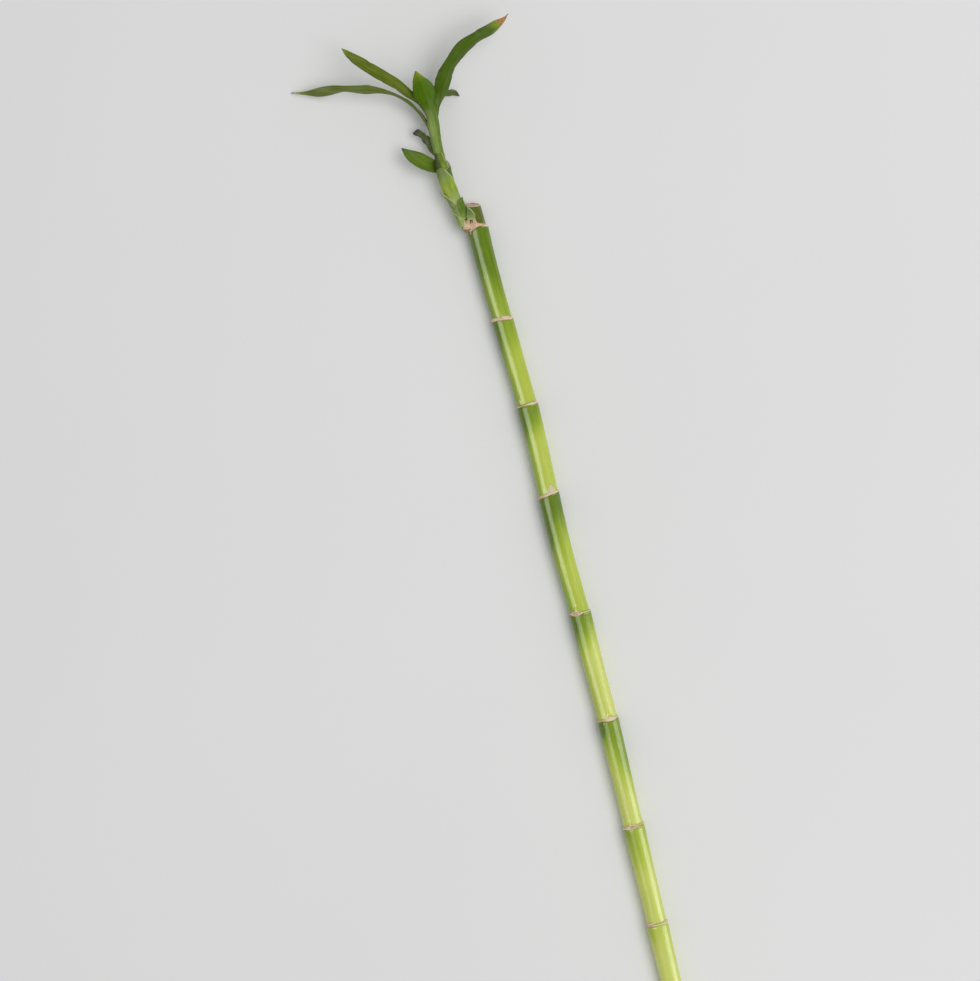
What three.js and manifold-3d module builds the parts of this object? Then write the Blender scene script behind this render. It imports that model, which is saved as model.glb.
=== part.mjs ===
// One stem of lucky bamboo (Dracaena sanderiana) as cut: a ringed green cane with a leafy side shoot.
// It lies on a table. Millimetres, +Z up, +X from the cut foot of the cane towards the leaves,
// +Y to the side that the shoot grows out of. The table is the plane z = 0.
import * as THREE from "three";
import Module from "manifold-3d";

const wasm = await Module();
wasm.setup();

// Driving dimensions of the cane.
const ORIGIN = { x: 258, y: 16.5 }; // the middle of the whole stem, measured from the foot's centre
const AXIS_HEIGHT = 5.3; // a little under the rings' radius: each ring has a small flat on the table
const CANE_SIDES = 20;
const FOOT_RADIUS = 4.9; // just above a ring
const SHOULDER_RADIUS = 5.45; // just below the next ring
const RING_CREST = 5.55;
const RING_CREST_TOP = 5.4;
const RING_FLANK = 1.1; // from the ring's place down to the shoulder
const RING_CREST_FROM = -0.5;
const RING_CREST_TO = 0.4;
const SHOULDER_SWELL = 1.7; // how late in an internode it widens
const STUB = { start: 4.55, end: 4.15, top: 428.3, slant: 0.8, rim: 0.45, dish: 0.5 };
const CUT_BEVEL = 0.5;
const BUD = { height: 0.45, length: 4.2, halfAngle: 24 };

// The rings from the foot to the top one: place along the cane, sideways sway, how far the cane bows
// sideways above it, slant across the cane's width (left side higher), and the angle of the dormant
// bud's scar above it.
const RINGS = [
  { x: 8, y: 0.1, bow: 0, slant: 0.2, bud: 80 },
  { x: 57.4, y: -0.7, bow: 0, slant: 0.1, bud: 255 },
  { x: 107.5, y: -1.3, bow: 0, slant: -0.3, bud: 75 },
  { x: 162.4, y: -2.1, bow: 0.15, slant: -0.1, bud: 100 },
  { x: 217.4, y: -1.8, bow: 0.65, slant: 0.3, bud: 70 },
  { x: 278.3, y: -1.2, bow: -0.3, slant: -0.7, bud: 110 },
  { x: 324.3, y: -2, bow: 0, slant: -0.2, bud: 45 },
  { x: 369, y: -0.5, bow: 0.4, slant: 0.5, bud: 108 },
  { x: 417.2, y: 0.2, bow: 0, slant: 1.4, bud: 35 },
];

// The shoot's own axis, from inside the cane's top ring to its tip.
const SHOOT_AXIS = new THREE.CatmullRomCurve3(
  [
    [414.3, 3.6, 7.6],
    [418.5, 5.5, 8.4],
    [426.1, 6.7, 8.8],
    [433.6, 8.1, 9.0],
    [441.1, 9.3, 9.2],
    [447.9, 9.7, 9.5],
    [454.6, 9.7, 9.9],
    [462.3, 9.6, 10.3],
    [469.9, 8.9, 10.7],
    [477.0, 8.4, 11.2],
  ].map((p) => new THREE.Vector3(...p)),
);
const BURIED = 4.7; // length of that axis inside the cane: stations count from where it comes out
const STEM_RADII = [
  [-5, 2.2],
  [-1.5, 2.6],
  [0.8, 2.6],
  [2, 2.3],
  [3.5, 1.75],
  [11, 1.6],
  [14, 1.85],
  [18, 2.35],
  [22, 2.7],
  [25, 1.2],
  [30, 1.1],
  [34, 0.85],
  [38, 0.65],
  [54, 0.6],
];
const STEM_SIDES = 12;

const BLADE_THICKNESS = 0.6;
const CLEARANCE = 0.3;
const TIP_HALF_WIDTH = 0.25;
const BLADE_TAPER = 1.9; // the larger, the blunter the point
const BLADE_PEAK = 0.36; // a blade's widest place, as a share of its length
const SCALE_TAPER = 1.3;
const SCALE_NARROWING = 0.93; // the part of a scale's width that its point has lost
const COLLAR_FROM = 0.72; // the share of a sheath where its edges begin to open to the collar
const TWIST_BY = 0.45; // the share of the way from collar to tip over which a blade twists

// Every leaf clasps the shoot with a sheath that is rolled round it, from one station to another along
// the shoot, and then leaves it. Angles go round the shoot: 0 is +Y, 90 is up, 180 is -Y. The radii
// are the sheath's inside at its foot, half way up and at its collar. The blade's points are the line of
// its midrib from the collar to the tip; a blade is widest at the peak, a share of its length. It turns
// by twist beyond the collar, over the share twistBy of the way to its tip, and by turn further on.
// A scale is only a sheath with a point.
const LEAVES = [
  {
    name: "base_scale_left",
    colour: "scale",
    angle: 5,
    from: 1.4,
    to: 6.5,
    radii: [2.95, 2.8, 3.0],
    wrap: [90, 75],
    blade: [[427.3, 10.8, 8.8]],
    rows: 8,
  },
  {
    name: "scale_leaf_left",
    colour: "scale",
    angle: 5,
    from: 5,
    to: 15,
    radii: [2.0, 2.75, 3.4],
    wrap: [95, 95],
    blade: [
      [434.6, 12.3, 9.4],
      [437.6, 14.2, 9.6],
    ],
    rows: 11,
  },
  {
    name: "scale_leaf_right",
    colour: "scale",
    angle: 170,
    from: 3.8,
    to: 12,
    radii: [2.0, 2.6, 3.3],
    wrap: [72, 72],
    blade: [[433.0, 3.6, 10.0]],
    rows: 9,
  },
  {
    name: "lower_left_leaf",
    colour: "leaf",
    angle: 0,
    from: 9.5,
    to: 29,
    radii: [1.9, 3.1, 2.65],
    wrap: [150, 80],
    neck: 5,
    petiole: [3, 70],
    blade: [
      [448.4, 13.9, 9.7],
      [451, 16.1, 10.5],
      [454.9, 19.4, 11],
      [458.7, 23.6, 10.4],
      [463.7, 27.2, 9],
    ],
    halfWidth: 3.5,
    channel: 28,
    twist: 50,
    twistBy: 0.3,
    waves: { count: 1.5, height: 0.35, phase: 0.6 },
    rows: 20,
  },
  {
    name: "crinkled_left_leaf",
    colour: "leaf",
    angle: -30,
    from: 25.5,
    to: 37.5,
    radii: [1.5, 2.05, 2.8],
    wrap: [150, 58],
    neck: 5,
    petiole: [1.7, 60],
    blade: [
      [459.4, 13.4, 6.7],
      [463.8, 14.2, 6.3],
      [466.8, 15.4, 5.9],
      [468.6, 17.2, 5.9],
      [470.2, 19.5, 5.3],
    ],
    halfWidth: 2.9,
    peak: 0.5,
    taper: 4,
    channel: 40,
    twist: 62,
    waves: { count: 2.4, height: 0.7, phase: 1.2 },
    rows: 19,
  },
  {
    name: "far_left_leaf",
    colour: "leaf",
    angle: -20,
    from: 34,
    to: 49,
    radii: [1.35, 1.95, 2.15],
    wrap: [36, 32],
    neck: 7,
    petiole: [1.3, 50],
    blade: [
      [474.8, 12.8, 10.2],
      [482.5, 16.8, 10.8],
      [489.7, 23.8, 11.8],
      [493.6, 33.1, 12.8],
      [498, 45.6, 12.2],
      [500.4, 57.9, 8.2],
      [502.6, 66.0, 4.2],
      [505.3, 74.1, 0.75],
    ],
    halfWidth: 3.1,
    peak: 0.55,
    taper: 2.6,
    channel: 24,
    twist: 42,
    turn: 25,
    waves: { count: 3.2, height: 0.7, phase: 0.4 },
    rows: 25,
  },
  {
    name: "upper_left_leaf",
    colour: "leaf",
    angle: 33,
    from: 41,
    to: 55,
    radii: [0.95, 1.1, 1.5],
    wrap: [70, 52],
    neck: 6,
    petiole: [1.5, 50],
    blade: [
      [482.3, 12.8, 13.4],
      [487.5, 17.1, 16.5],
      [493.1, 21.7, 19.2],
      [497.1, 26, 20.6],
      [501.4, 30.4, 21.7],
      [506.1, 35.2, 23],
      [510.6, 39.7, 23.8],
      [516.1, 43.6, 24],
    ],
    halfWidth: 2.9,
    peak: 0.64,
    taper: 3,
    channel: 26,
    twist: 48,
    waves: { count: 2.2, height: 0.35, phase: 2.1 },
    rows: 21,
  },
  {
    name: "front_leaf",
    colour: "leaf",
    angle: 93,
    from: 36.5,
    to: 57,
    radii: [1.6, 2.1, 2.6],
    wrap: [72, 44],
    neck: 5,
    petiole: [3.4, 50],
    blade: [
      [479.6, 9.1, 14.9],
      [484.4, 9.1, 18.4],
      [488.3, 9.8, 22],
      [491.6, 10.6, 25.5],
      [495.4, 11.1, 29.5],
    ],
    halfWidth: 5.9,
    peak: 0.3,
    taper: 1.6,
    channel: 28,
    twist: 0,
    waves: { count: 1.2, height: 0.3, phase: 0 },
    rows: 21,
  },
  {
    name: "right_leaf",
    colour: "leaf",
    angle: 190,
    from: 41,
    to: 53,
    radii: [0.95, 1.1, 1.5],
    wrap: [70, 52],
    neck: 6,
    petiole: [1.9, 50],
    blade: [
      [479.2, 4.2, 10.6],
      [483.7, 1.7, 12.2],
      [488.7, -1.3, 15.6],
      [492.9, -4.3, 18.0],
      [497.5, -8.7, 20],
      [501.3, -13.8, 21],
      [503.7, -19.8, 21.4],
      [506.2, -25.6, 20.8],
      [508, -31.6, 19.4],
      [510.4, -36.6, 17.6],
      [514.2, -40.3, 15.6],
    ],
    halfWidth: 4.6,
    taper: 3.6,
    channel: 30,
    twist: -62,
    turn: 10,
    twistBy: 0.24,
    waves: { count: 3.4, height: 0.5, phase: 1.1 },
    rows: 26,
  },
  {
    name: "back_right_leaf",
    colour: "leaf",
    angle: 238,
    from: 35.5,
    to: 47,
    radii: [1.35, 1.95, 2.15],
    wrap: [48, 40],
    neck: 6,
    petiole: [1.2, 45],
    blade: [
      [471.7, 7.6, 7.0],
      [477.3, 6.1, 5.9],
      [481.7, 3.8, 5.1],
      [484.6, 1, 4.4],
      [485.1, -2, 3.7],
      [484.6, -4.7, 2.9],
      [482.8, -7.5, 1.6],
    ],
    halfWidth: 2.9,
    peak: 0.5,
    taper: 3.5,
    channel: 30,
    twist: -62,
    twistBy: 0.3,
    waves: { count: 2.2, height: 0.5, phase: 0.9 },
    rows: 19,
  },
];

// The bract in the fork between the shoot and the cane's stub covers the stub's left side.
const BRACT = {
  name: "fork_bract",
  colour: "scale",
  midrib: [
    [420.4, 2.4, 11.6],
    [423.8, 2.1, 11.3],
    [428.2, 2.7, 11.6],
  ],
  footWidth: 0.9,
  halfWidth: 2.2,
  channel: 15,
  lean: 14,
  rows: 8,
};

// The torn, dry remains of the leaf that once stood at the top ring: their lower and upper edges are
// distances from the ring at angles round the cane, 0 at +Y and 90 on top.
const DRY_SHEATH = {
  angles: [-25, -10, 5, 20, 35, 43, 52, 60, 72, 84, 96, 110],
  lower: [-0.9, -1.5, -1.3, -1.9, -1.6, -2.2, -4, -1.9, -1.5, -1.2, -1.1, -1.0],
  upper: [0.4, 0.9, 1.1, 1.2, 1.3, 1.3, 1.3, 1.5, 2.6, 4.4, 2.0, 0.3],
  columns: 30,
  rows: 5,
};

const COLOURS = {
  cane: [0x86a63a, 0.42],
  stem: [0x6f9636, 0.5],
  leaf: [0x46741a, 0.45],
  scale: [0x668b3a, 0.55],
  dry: [0xd2ab83, 0.85],
};

const smooth = (from, to, x) => THREE.MathUtils.smoothstep(x, from, to);
const mix = THREE.MathUtils.lerp;
const radians = THREE.MathUtils.degToRad;

// Straight-line interpolation in a list of [place, value].
function ramp(list, x) {
  const k = list.findIndex(([place]) => place > x);
  if (k < 0) return list[list.length - 1][1];
  if (k === 0) return list[0][1];
  const [[x0, v0], [x1, v1]] = [list[k - 1], list[k]];
  return mix(v0, v1, (x - x0) / (x1 - x0));
}

// A closed skin over rows of points, each row a ring of the same count, with both ends filled.
function skin(rings) {
  const sides = rings[0].length;
  const points = rings.flat();
  const faces = [];
  const at = (row, side) => row * sides + (side % sides);
  for (let row = 0; row + 1 < rings.length; row++)
    for (let side = 0; side < sides; side++)
      faces.push(
        [at(row, side), at(row + 1, side), at(row, side + 1)],
        [at(row, side + 1), at(row + 1, side), at(row + 1, side + 1)],
      );
  for (const last of [false, true]) {
    const row = last ? rings.length - 1 : 0;
    const middle = rings[row]
      .reduce((sum, p) => sum.add(p), new THREE.Vector3())
      .divideScalar(sides);
    const hub = points.push(middle) - 1;
    for (let side = 0; side < sides; side++) {
      const edge = [at(row, side), at(row, side + 1)];
      faces.push(last ? [hub, edge[1], edge[0]] : [hub, ...edge]);
    }
  }
  return solid(points, faces);
}

// Points and triangles as a manifold, turned to face outwards.
function solid(points, faces) {
  const vertProperties = new Float32Array(points.flatMap((p) => [p.x, p.y, p.z]));
  const build = (list) =>
    new wasm.Manifold(
      new wasm.Mesh({
        numProp: 3,
        vertProperties,
        triVerts: new Uint32Array(list.flat()),
      }),
    );
  const made = build(faces);
  return made.volume() > 0 ? made : build(faces.map(([a, b, c]) => [a, c, b]));
}

// The largest single body of a solid, so that a cut leaves no loose scrap.
function largest(made) {
  return made.decompose().sort((a, b) => b.volume() - a.volume())[0];
}

// A ring of the cane at place x, with radius r, seen as points round its axis.
function caneRing(x, y, slant, radiusAt, grow) {
  return Array.from({ length: CANE_SIDES }, (_, side) => {
    const angle = ((side + 0.5) / CANE_SIDES) * 2 * Math.PI;
    const r = radiusAt(THREE.MathUtils.radToDeg(angle)) + grow;
    const z = AXIS_HEIGHT + r * Math.sin(angle);
    return new THREE.Vector3(
      x + slant * Math.cos(angle),
      y + r * Math.cos(angle),
      grow ? z : Math.max(z, 0),
    );
  });
}

// The height of a dormant bud's scar: a low three-cornered boss just above its ring.
function budRelief(angle, bud, above) {
  const turn = Math.abs(((angle - bud + 540) % 360) - 180);
  return turn < BUD.halfAngle * (1 - above / BUD.length) ? BUD.height : 0;
}

// The outline of a ring: distances from its place along the cane, and radii.
const RING_OUTLINE = [
  [-RING_FLANK, SHOULDER_RADIUS],
  [RING_CREST_FROM, RING_CREST],
  [RING_CREST_TO, RING_CREST_TOP],
];

// The cane, from its cut foot through each ring to the stub above the shoot.
function cane(grow = 0) {
  const rings = [];
  const add = (x, y, slant, radius) =>
    rings.push(caneRing(x, y, slant, radius, grow));
  add(0, 0, 0, () => SHOULDER_RADIUS - CUT_BEVEL);
  add(CUT_BEVEL, 0, 0, () => SHOULDER_RADIUS - CUT_BEVEL / 2);
  RINGS.forEach((ring, k) => {
    const next = RINGS[k + 1];
    const foot = next ? FOOT_RADIUS : STUB.start;
    for (const [offset, r] of RING_OUTLINE)
      add(ring.x + offset, ring.y, ring.slant, () => r);
    for (const above of [0.9, BUD.length / 2, BUD.length]) {
      const relief = (angle) => (next ? budRelief(angle, ring.bud, above) : 0);
      const slant = ring.slant * (1 - above / (2 * BUD.length));
      add(ring.x + above, ring.y, slant, (angle) => foot + relief(angle));
    }
    if (!next) return;
    for (const share of [0.25, 0.5, 0.75]) {
      const r = mix(FOOT_RADIUS, SHOULDER_RADIUS, share ** SHOULDER_SWELL);
      const y = mix(ring.y, next.y, share) + ring.bow * Math.sin(Math.PI * share);
      add(mix(ring.x, next.x, share), y, 0, () => r);
    }
  });
  const { y } = RINGS[RINGS.length - 1];
  const end = grow ? STUB.top + grow : STUB.top - STUB.dish; // a grown copy has no dish
  add(STUB.top - 1.2, y, STUB.slant, () => STUB.end);
  add(STUB.top - 0.5, y, STUB.slant, () => STUB.end + 0.1);
  add(STUB.top, y, STUB.slant, () => STUB.end - STUB.rim);
  add(end, y, STUB.slant, () => STUB.end - 3 * STUB.rim);
  return skin(rings);
}

// The shoot's axis at a station: its point, its direction, and the directions to the left and up.
function shootFrame(station) {
  const length = SHOOT_AXIS.getLength();
  const share = THREE.MathUtils.clamp((station + BURIED) / length, 0, 1);
  const point = SHOOT_AXIS.getPointAt(share);
  const along = SHOOT_AXIS.getTangentAt(share);
  const left = new THREE.Vector3(0, 0, 1).cross(along).normalize();
  return { point, along, left, up: along.clone().cross(left) };
}

// The direction away from the shoot's axis at an angle round it, in degrees.
function outward({ left, up }, angle) {
  const turn = radians(angle);
  return left
    .clone()
    .multiplyScalar(Math.cos(turn))
    .addScaledVector(up, Math.sin(turn));
}

// The shoot's stem: a tapering tube that swells where the lower leaf clasps it.
function shootStem(grow = 0) {
  const stations = STEM_RADII.flatMap(([at], k) => {
    const next = STEM_RADII[k + 1];
    return next ? [at, (at + next[0]) / 2] : [at];
  });
  return skin(
    stations.map((at) => {
      const frame = shootFrame(at);
      const r = ramp(STEM_RADII, at) + grow;
      return Array.from({ length: STEM_SIDES }, (_, side) =>
        frame.point
          .clone()
          .addScaledVector(outward(frame, (side / STEM_SIDES) * 360), r),
      );
    }),
  );
}

// A blade or sheath as a closed plate. Each row is an arc across the midrib: it has a half width and a
// half angle, and its centre lies on the side that the upper face looks to.
function plate(rows, columns, grow) {
  const faces = [];
  const upper = [];
  const lower = [];
  for (const { point, facing, side, halfWidth, halfAngle, wave } of rows) {
    const radius = halfWidth / halfAngle;
    for (let c = 0; c <= columns; c++) {
      const across = (2 * c) / columns - 1;
      const angle = across * (halfAngle + grow / radius);
      const out = facing
        .clone()
        .multiplyScalar(-Math.cos(angle))
        .addScaledVector(side, Math.sin(angle));
      const centre = point
        .clone()
        .addScaledVector(facing, radius + wave(across));
      upper.push(centre.clone().addScaledVector(out, radius - grow));
      lower.push(centre.addScaledVector(out, radius + BLADE_THICKNESS + grow));
    }
  }
  const width = columns + 1;
  const half = upper.length;
  const quad = (a, b, c, d) => faces.push([a, b, c], [a, c, d]);
  for (let r = 0; r + 1 < rows.length; r++)
    for (let c = 0; c < columns; c++) {
      const a = r * width + c;
      quad(a, a + 1, a + width + 1, a + width);
      quad(half + a, half + a + width, half + a + width + 1, half + a + 1);
    }
  for (let r = 0; r + 1 < rows.length; r++) {
    const a = r * width;
    const b = a + columns;
    quad(a, a + width, half + a + width, half + a);
    quad(b, half + b, half + b + width, b + width);
  }
  const end = (rows.length - 1) * width;
  for (let c = 0; c < columns; c++) {
    quad(c, half + c, half + c + 1, c + 1);
    quad(end + c, end + c + 1, half + end + c + 1, half + end + c);
  }
  return solid([...upper, ...lower], faces);
}

// Rows of a plate along a curve: the upper face's direction is carried along without turning, and then
// twisted about the midrib by the angle that the twist gives at each distance.
function rowsAlong(curve, facing, count, describe) {
  const length = curve.getLength();
  let carried = facing.clone();
  return Array.from({ length: count + 1 }, (_, k) => {
    const share = k / count;
    const along = curve.getTangentAt(share);
    carried.addScaledVector(along, -carried.dot(along)).normalize();
    const shape = describe(share * length, length);
    const turned = carried.clone().applyAxisAngle(along, radians(shape.twist));
    return {
      ...shape,
      point: curve.getPointAt(share),
      facing: turned,
      side: along.clone().cross(turned),
    };
  });
}

// The half width of a blade at a share of its length: it widens over the first third, and then
// narrows to a point.
function bladeWidth(share, start, widest, peak = BLADE_PEAK, taper = BLADE_TAPER) {
  if (share < peak)
    return mix(start, widest, Math.sin((Math.PI / 2) * (share / peak)));
  return Math.max(
    widest * (1 - ((share - peak) / (1 - peak)) ** taper),
    TIP_HALF_WIDTH,
  );
}

function leaf(spec, grow = 0) {
  const sheath = spec.to - spec.from;
  const radiusAt = (d) =>
    ramp([0, 0.5, 1].map((t, k) => [t * sheath, spec.radii[k]]), d);
  const seats = [0, 0.25, 0.5, 0.75, 1].map((share) => {
    const frame = shootFrame(mix(spec.from, spec.to, share));
    const out = outward(frame, spec.angle);
    const radius = radiusAt(share * sheath);
    return { out, point: frame.point.addScaledVector(out, radius) };
  });
  const blade = spec.blade.map((p) => new THREE.Vector3(...p));
  const curve = new THREE.CatmullRomCurve3([
    ...seats.map((s) => s.point),
    ...blade,
  ]);
  const [wrapFoot, wrapCollar] = spec.wrap.map(radians);
  const wrapAt = (d) => mix(wrapFoot, wrapCollar, smooth(COLLAR_FROM * sheath, sheath, d));
  const flat = () => 0;
  const scaleShape = (d, length) => {
    const halfAngle = wrapAt(d) * (1 - SCALE_NARROWING * (d / length) ** SCALE_TAPER);
    return {
      halfAngle,
      halfWidth: halfAngle * radiusAt(d),
      twist: 0,
      wave: flat,
    };
  };
  const leafShape = (d, length) => {
    const opened = smooth(sheath, sheath + spec.neck, d);
    const share = Math.max(0, (d - sheath - spec.neck) / (length - sheath - spec.neck));
    const [petioleWidth, petioleAngle] = spec.petiole;
    const bladeAngle = mix(radians(petioleAngle), radians(spec.channel), smooth(0, 0.4, share));
    const waves = (across) =>
      spec.waves.height *
      across ** 2 *
      smooth(0, 0.25, share) *
      Math.sin(2 * Math.PI * spec.waves.count * share + spec.waves.phase + across);
    const twisted = sheath + (spec.twistBy ?? TWIST_BY) * (length - sheath);
    return {
      halfAngle: mix(wrapAt(d), bladeAngle, opened),
      halfWidth: mix(
        wrapAt(d) * radiusAt(d),
        bladeWidth(share, petioleWidth, spec.halfWidth, spec.peak, spec.taper),
        opened,
      ),
      twist: spec.twist * smooth(sheath, twisted, d) + (spec.turn ?? 0) * smooth(0.2, 0.9, share),
      wave: waves,
    };
  };
  const facing = seats[0].out.clone().negate();
  const shape = spec.neck ? leafShape : scaleShape;
  const columns = spec.wrap[0] > 100 ? 10 : 6;
  return plate(rowsAlong(curve, facing, spec.rows, shape), columns, grow);
}

function forkBract(grow = 0) {
  const curve = new THREE.CatmullRomCurve3(
    BRACT.midrib.map((p) => new THREE.Vector3(...p)),
  );
  const shape = (d, length) => ({
    halfAngle: radians(BRACT.channel),
    halfWidth: bladeWidth(d / length, BRACT.footWidth, BRACT.halfWidth),
    twist: BRACT.lean,
    wave: () => 0,
  });
  const up = new THREE.Vector3(0, 0, 1);
  return plate(rowsAlong(curve, up, BRACT.rows, shape), 4, grow);
}

// The dry sheath: a torn band that follows the cane's shoulder, the ring and the stub's foot.
function drySheath() {
  const ring = RINGS[RINGS.length - 1];
  const { angles, lower, upper, columns, rows } = DRY_SHEATH;
  const surface = [...RING_OUTLINE, [1.4, STUB.start]];
  const pointsAt = (thickness) =>
    Array.from({ length: columns + 1 }, (_, c) => {
      const degrees = mix(angles[0], angles[angles.length - 1], c / columns);
      const turn = radians(degrees);
      const low = ramp(angles.map((a, k) => [a, lower[k]]), degrees);
      const high = ramp(angles.map((a, k) => [a, upper[k]]), degrees);
      return Array.from({ length: rows + 1 }, (_, r) => {
        const offset = mix(low, high, r / rows);
        const radius = ramp(surface, offset) + 1.5 * CLEARANCE + thickness;
        return new THREE.Vector3(
          ring.x + offset + ring.slant * Math.cos(turn),
          ring.y + radius * Math.cos(turn),
          AXIS_HEIGHT + radius * Math.sin(turn),
        );
      });
    });
  const inner = pointsAt(0);
  const outer = pointsAt(BLADE_THICKNESS);
  return skin(inner.map((row, c) => [...row, ...outer[c].reverse()]));
}

function mesh(name, body, colour) {
  const { numProp, numVert, vertProperties, triVerts } = body.getMesh();
  const position = new Float32Array(numVert * 3);
  for (let v = 0; v < numVert; v++)
    position.set(vertProperties.subarray(v * numProp, v * numProp + 3), v * 3);
  const geometry = new THREE.BufferGeometry()
    .setAttribute("position", new THREE.BufferAttribute(position, 3))
    .setIndex(new THREE.BufferAttribute(triVerts, 1));
  geometry.computeVertexNormals();
  const [color, roughness] = COLOURS[colour];
  const piece = new THREE.Mesh(
    geometry,
    new THREE.MeshStandardMaterial({ color, roughness, metalness: 0 }),
  );
  piece.name = name;
  return piece;
}

const stem = new THREE.Group();
const room = cane(CLEARANCE);
const scales = LEAVES.filter((spec) => !spec.neck);
const aroundRing = [shootStem, forkBract, ...scales.map((spec) => (grow) => leaf(spec, grow))];

stem.add(mesh("cane", cane(), "cane"));
stem.add(mesh("shoot_stem", largest(shootStem().subtract(room)), "stem"));
for (const spec of LEAVES) {
  const whole = leaf(spec);
  const made = spec.neck ? whole : largest(whole.subtract(room));
  stem.add(mesh(spec.name, made, spec.colour));
}
stem.add(mesh(BRACT.name, forkBract(), BRACT.colour));
const torn = aroundRing.reduce(
  (left, make) => left.subtract(make(CLEARANCE)),
  drySheath(),
);
stem.add(mesh("dry_sheath", largest(torn), "dry"));
stem.position.set(-ORIGIN.x, -ORIGIN.y, 0);

export default stem;
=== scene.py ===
"""The looks of one cut lucky bamboo stem (Dracaena sanderiana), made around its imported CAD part.

The tables hold millimetres from the centre of the cane's foot: +X along the cane to the leaves, +Y to
the side that the shoot grows out of, +Z up from the table. place() turns them into the frame's metres.
Angles go round the cane or the shoot in degrees: 0 is +Y, 90 is up, 180 is -Y.
"""

import bpy
import numpy as np
from mathutils import Matrix, Vector


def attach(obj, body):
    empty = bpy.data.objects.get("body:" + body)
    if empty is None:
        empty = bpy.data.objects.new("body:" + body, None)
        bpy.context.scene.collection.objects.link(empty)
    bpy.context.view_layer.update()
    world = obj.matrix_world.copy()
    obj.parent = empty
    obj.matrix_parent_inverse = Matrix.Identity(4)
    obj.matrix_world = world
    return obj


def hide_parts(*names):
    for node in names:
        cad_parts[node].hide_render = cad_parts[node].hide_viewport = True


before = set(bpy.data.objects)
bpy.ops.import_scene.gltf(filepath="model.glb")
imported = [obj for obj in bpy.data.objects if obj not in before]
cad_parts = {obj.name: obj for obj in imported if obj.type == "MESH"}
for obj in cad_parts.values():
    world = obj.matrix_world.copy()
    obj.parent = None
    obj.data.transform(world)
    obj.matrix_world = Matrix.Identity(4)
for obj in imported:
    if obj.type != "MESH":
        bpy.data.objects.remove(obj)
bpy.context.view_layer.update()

bl_info = {
    "name": "Lucky bamboo stem",
    "version": (1, 0, 0),
    "blender": (4, 5, 0),
    "location": "3D View > Sidebar > Bamboo",
    "description": "Builds the skin, leaves and finishes of one cut lucky bamboo stem",
    "category": "Object",
}

MM = 0.001
SPAN_STEPS = 80  # points on each span of a smooth line
ORIGIN = np.array([258.0, 16.5, 0.0])  # the middle of the whole stem
AXIS_HEIGHT = 5.3

# The cane.
CANE_SIDES = 80
ROW_STEP, RING_STEP, END_STEP, LEAST_STEP = 1.1, 0.16, 0.1, 0.06  # between the cane's rows of points
FOOT_RADIUS = 4.9  # just above a ring
SHOULDER_RADIUS = 5.45  # just below the next ring
SHOULDER_SWELL = 1.7  # how late in an internode it widens
RING_FLANK = 1.1
DROP_START, DROP_FROM, DROP_TO = 0.2, 0.25, 0.62  # where beyond a ring its shoulder steps down
NEAR_RING = (-3.0, 5.4)  # from where to where round a ring its relief reaches
BAND_MIDDLE = -0.15
STUB_START, STUB_END, STUB_TOP, STUB_SLANT, STUB_LEAN = 4.55, 4.2, 428.3, 0.8, 1.15
STUB_SLANTED = STUB_TOP - 1.2  # from here on the rows have the stub's slant
BUD = dict(half_angle=24, length=4.2, height=0.3)
SCAR = dict(half_angle=40, length=5.0, height=0.45)
CUT_ROWS = np.array([0.9, 0.78, 0.62, 0.45, 0.3, 0.15, 0.05])[:, None]  # shares of a cut face's radius
FOOT_SUNK, STUB_SUNK = 0.12, -0.75  # how far along +X of its rim the middle of each cut face is
RIM_RUN, FOOT_RIM, STUB_RIM = 0.5, 0.5, 0.45  # how far along and how deep the cuts' rims are rounded
OFF_BAND, NO_RING = -9.0, 99.0  # traits away from bands and scars, and away from rings
RUST_WIDTH = 26  # degrees
# How much deeper the green is on the left side, partly the skin's own green and partly painted shade:
# most near the top, and more under each ring; and painted shade along the left edge.
SIDE_GREEN_AND_SHADE, EDGE_SHADE, NEAR_RING_GREEN_AND_SHADE = 0.18, 0.18, 0.2

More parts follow.
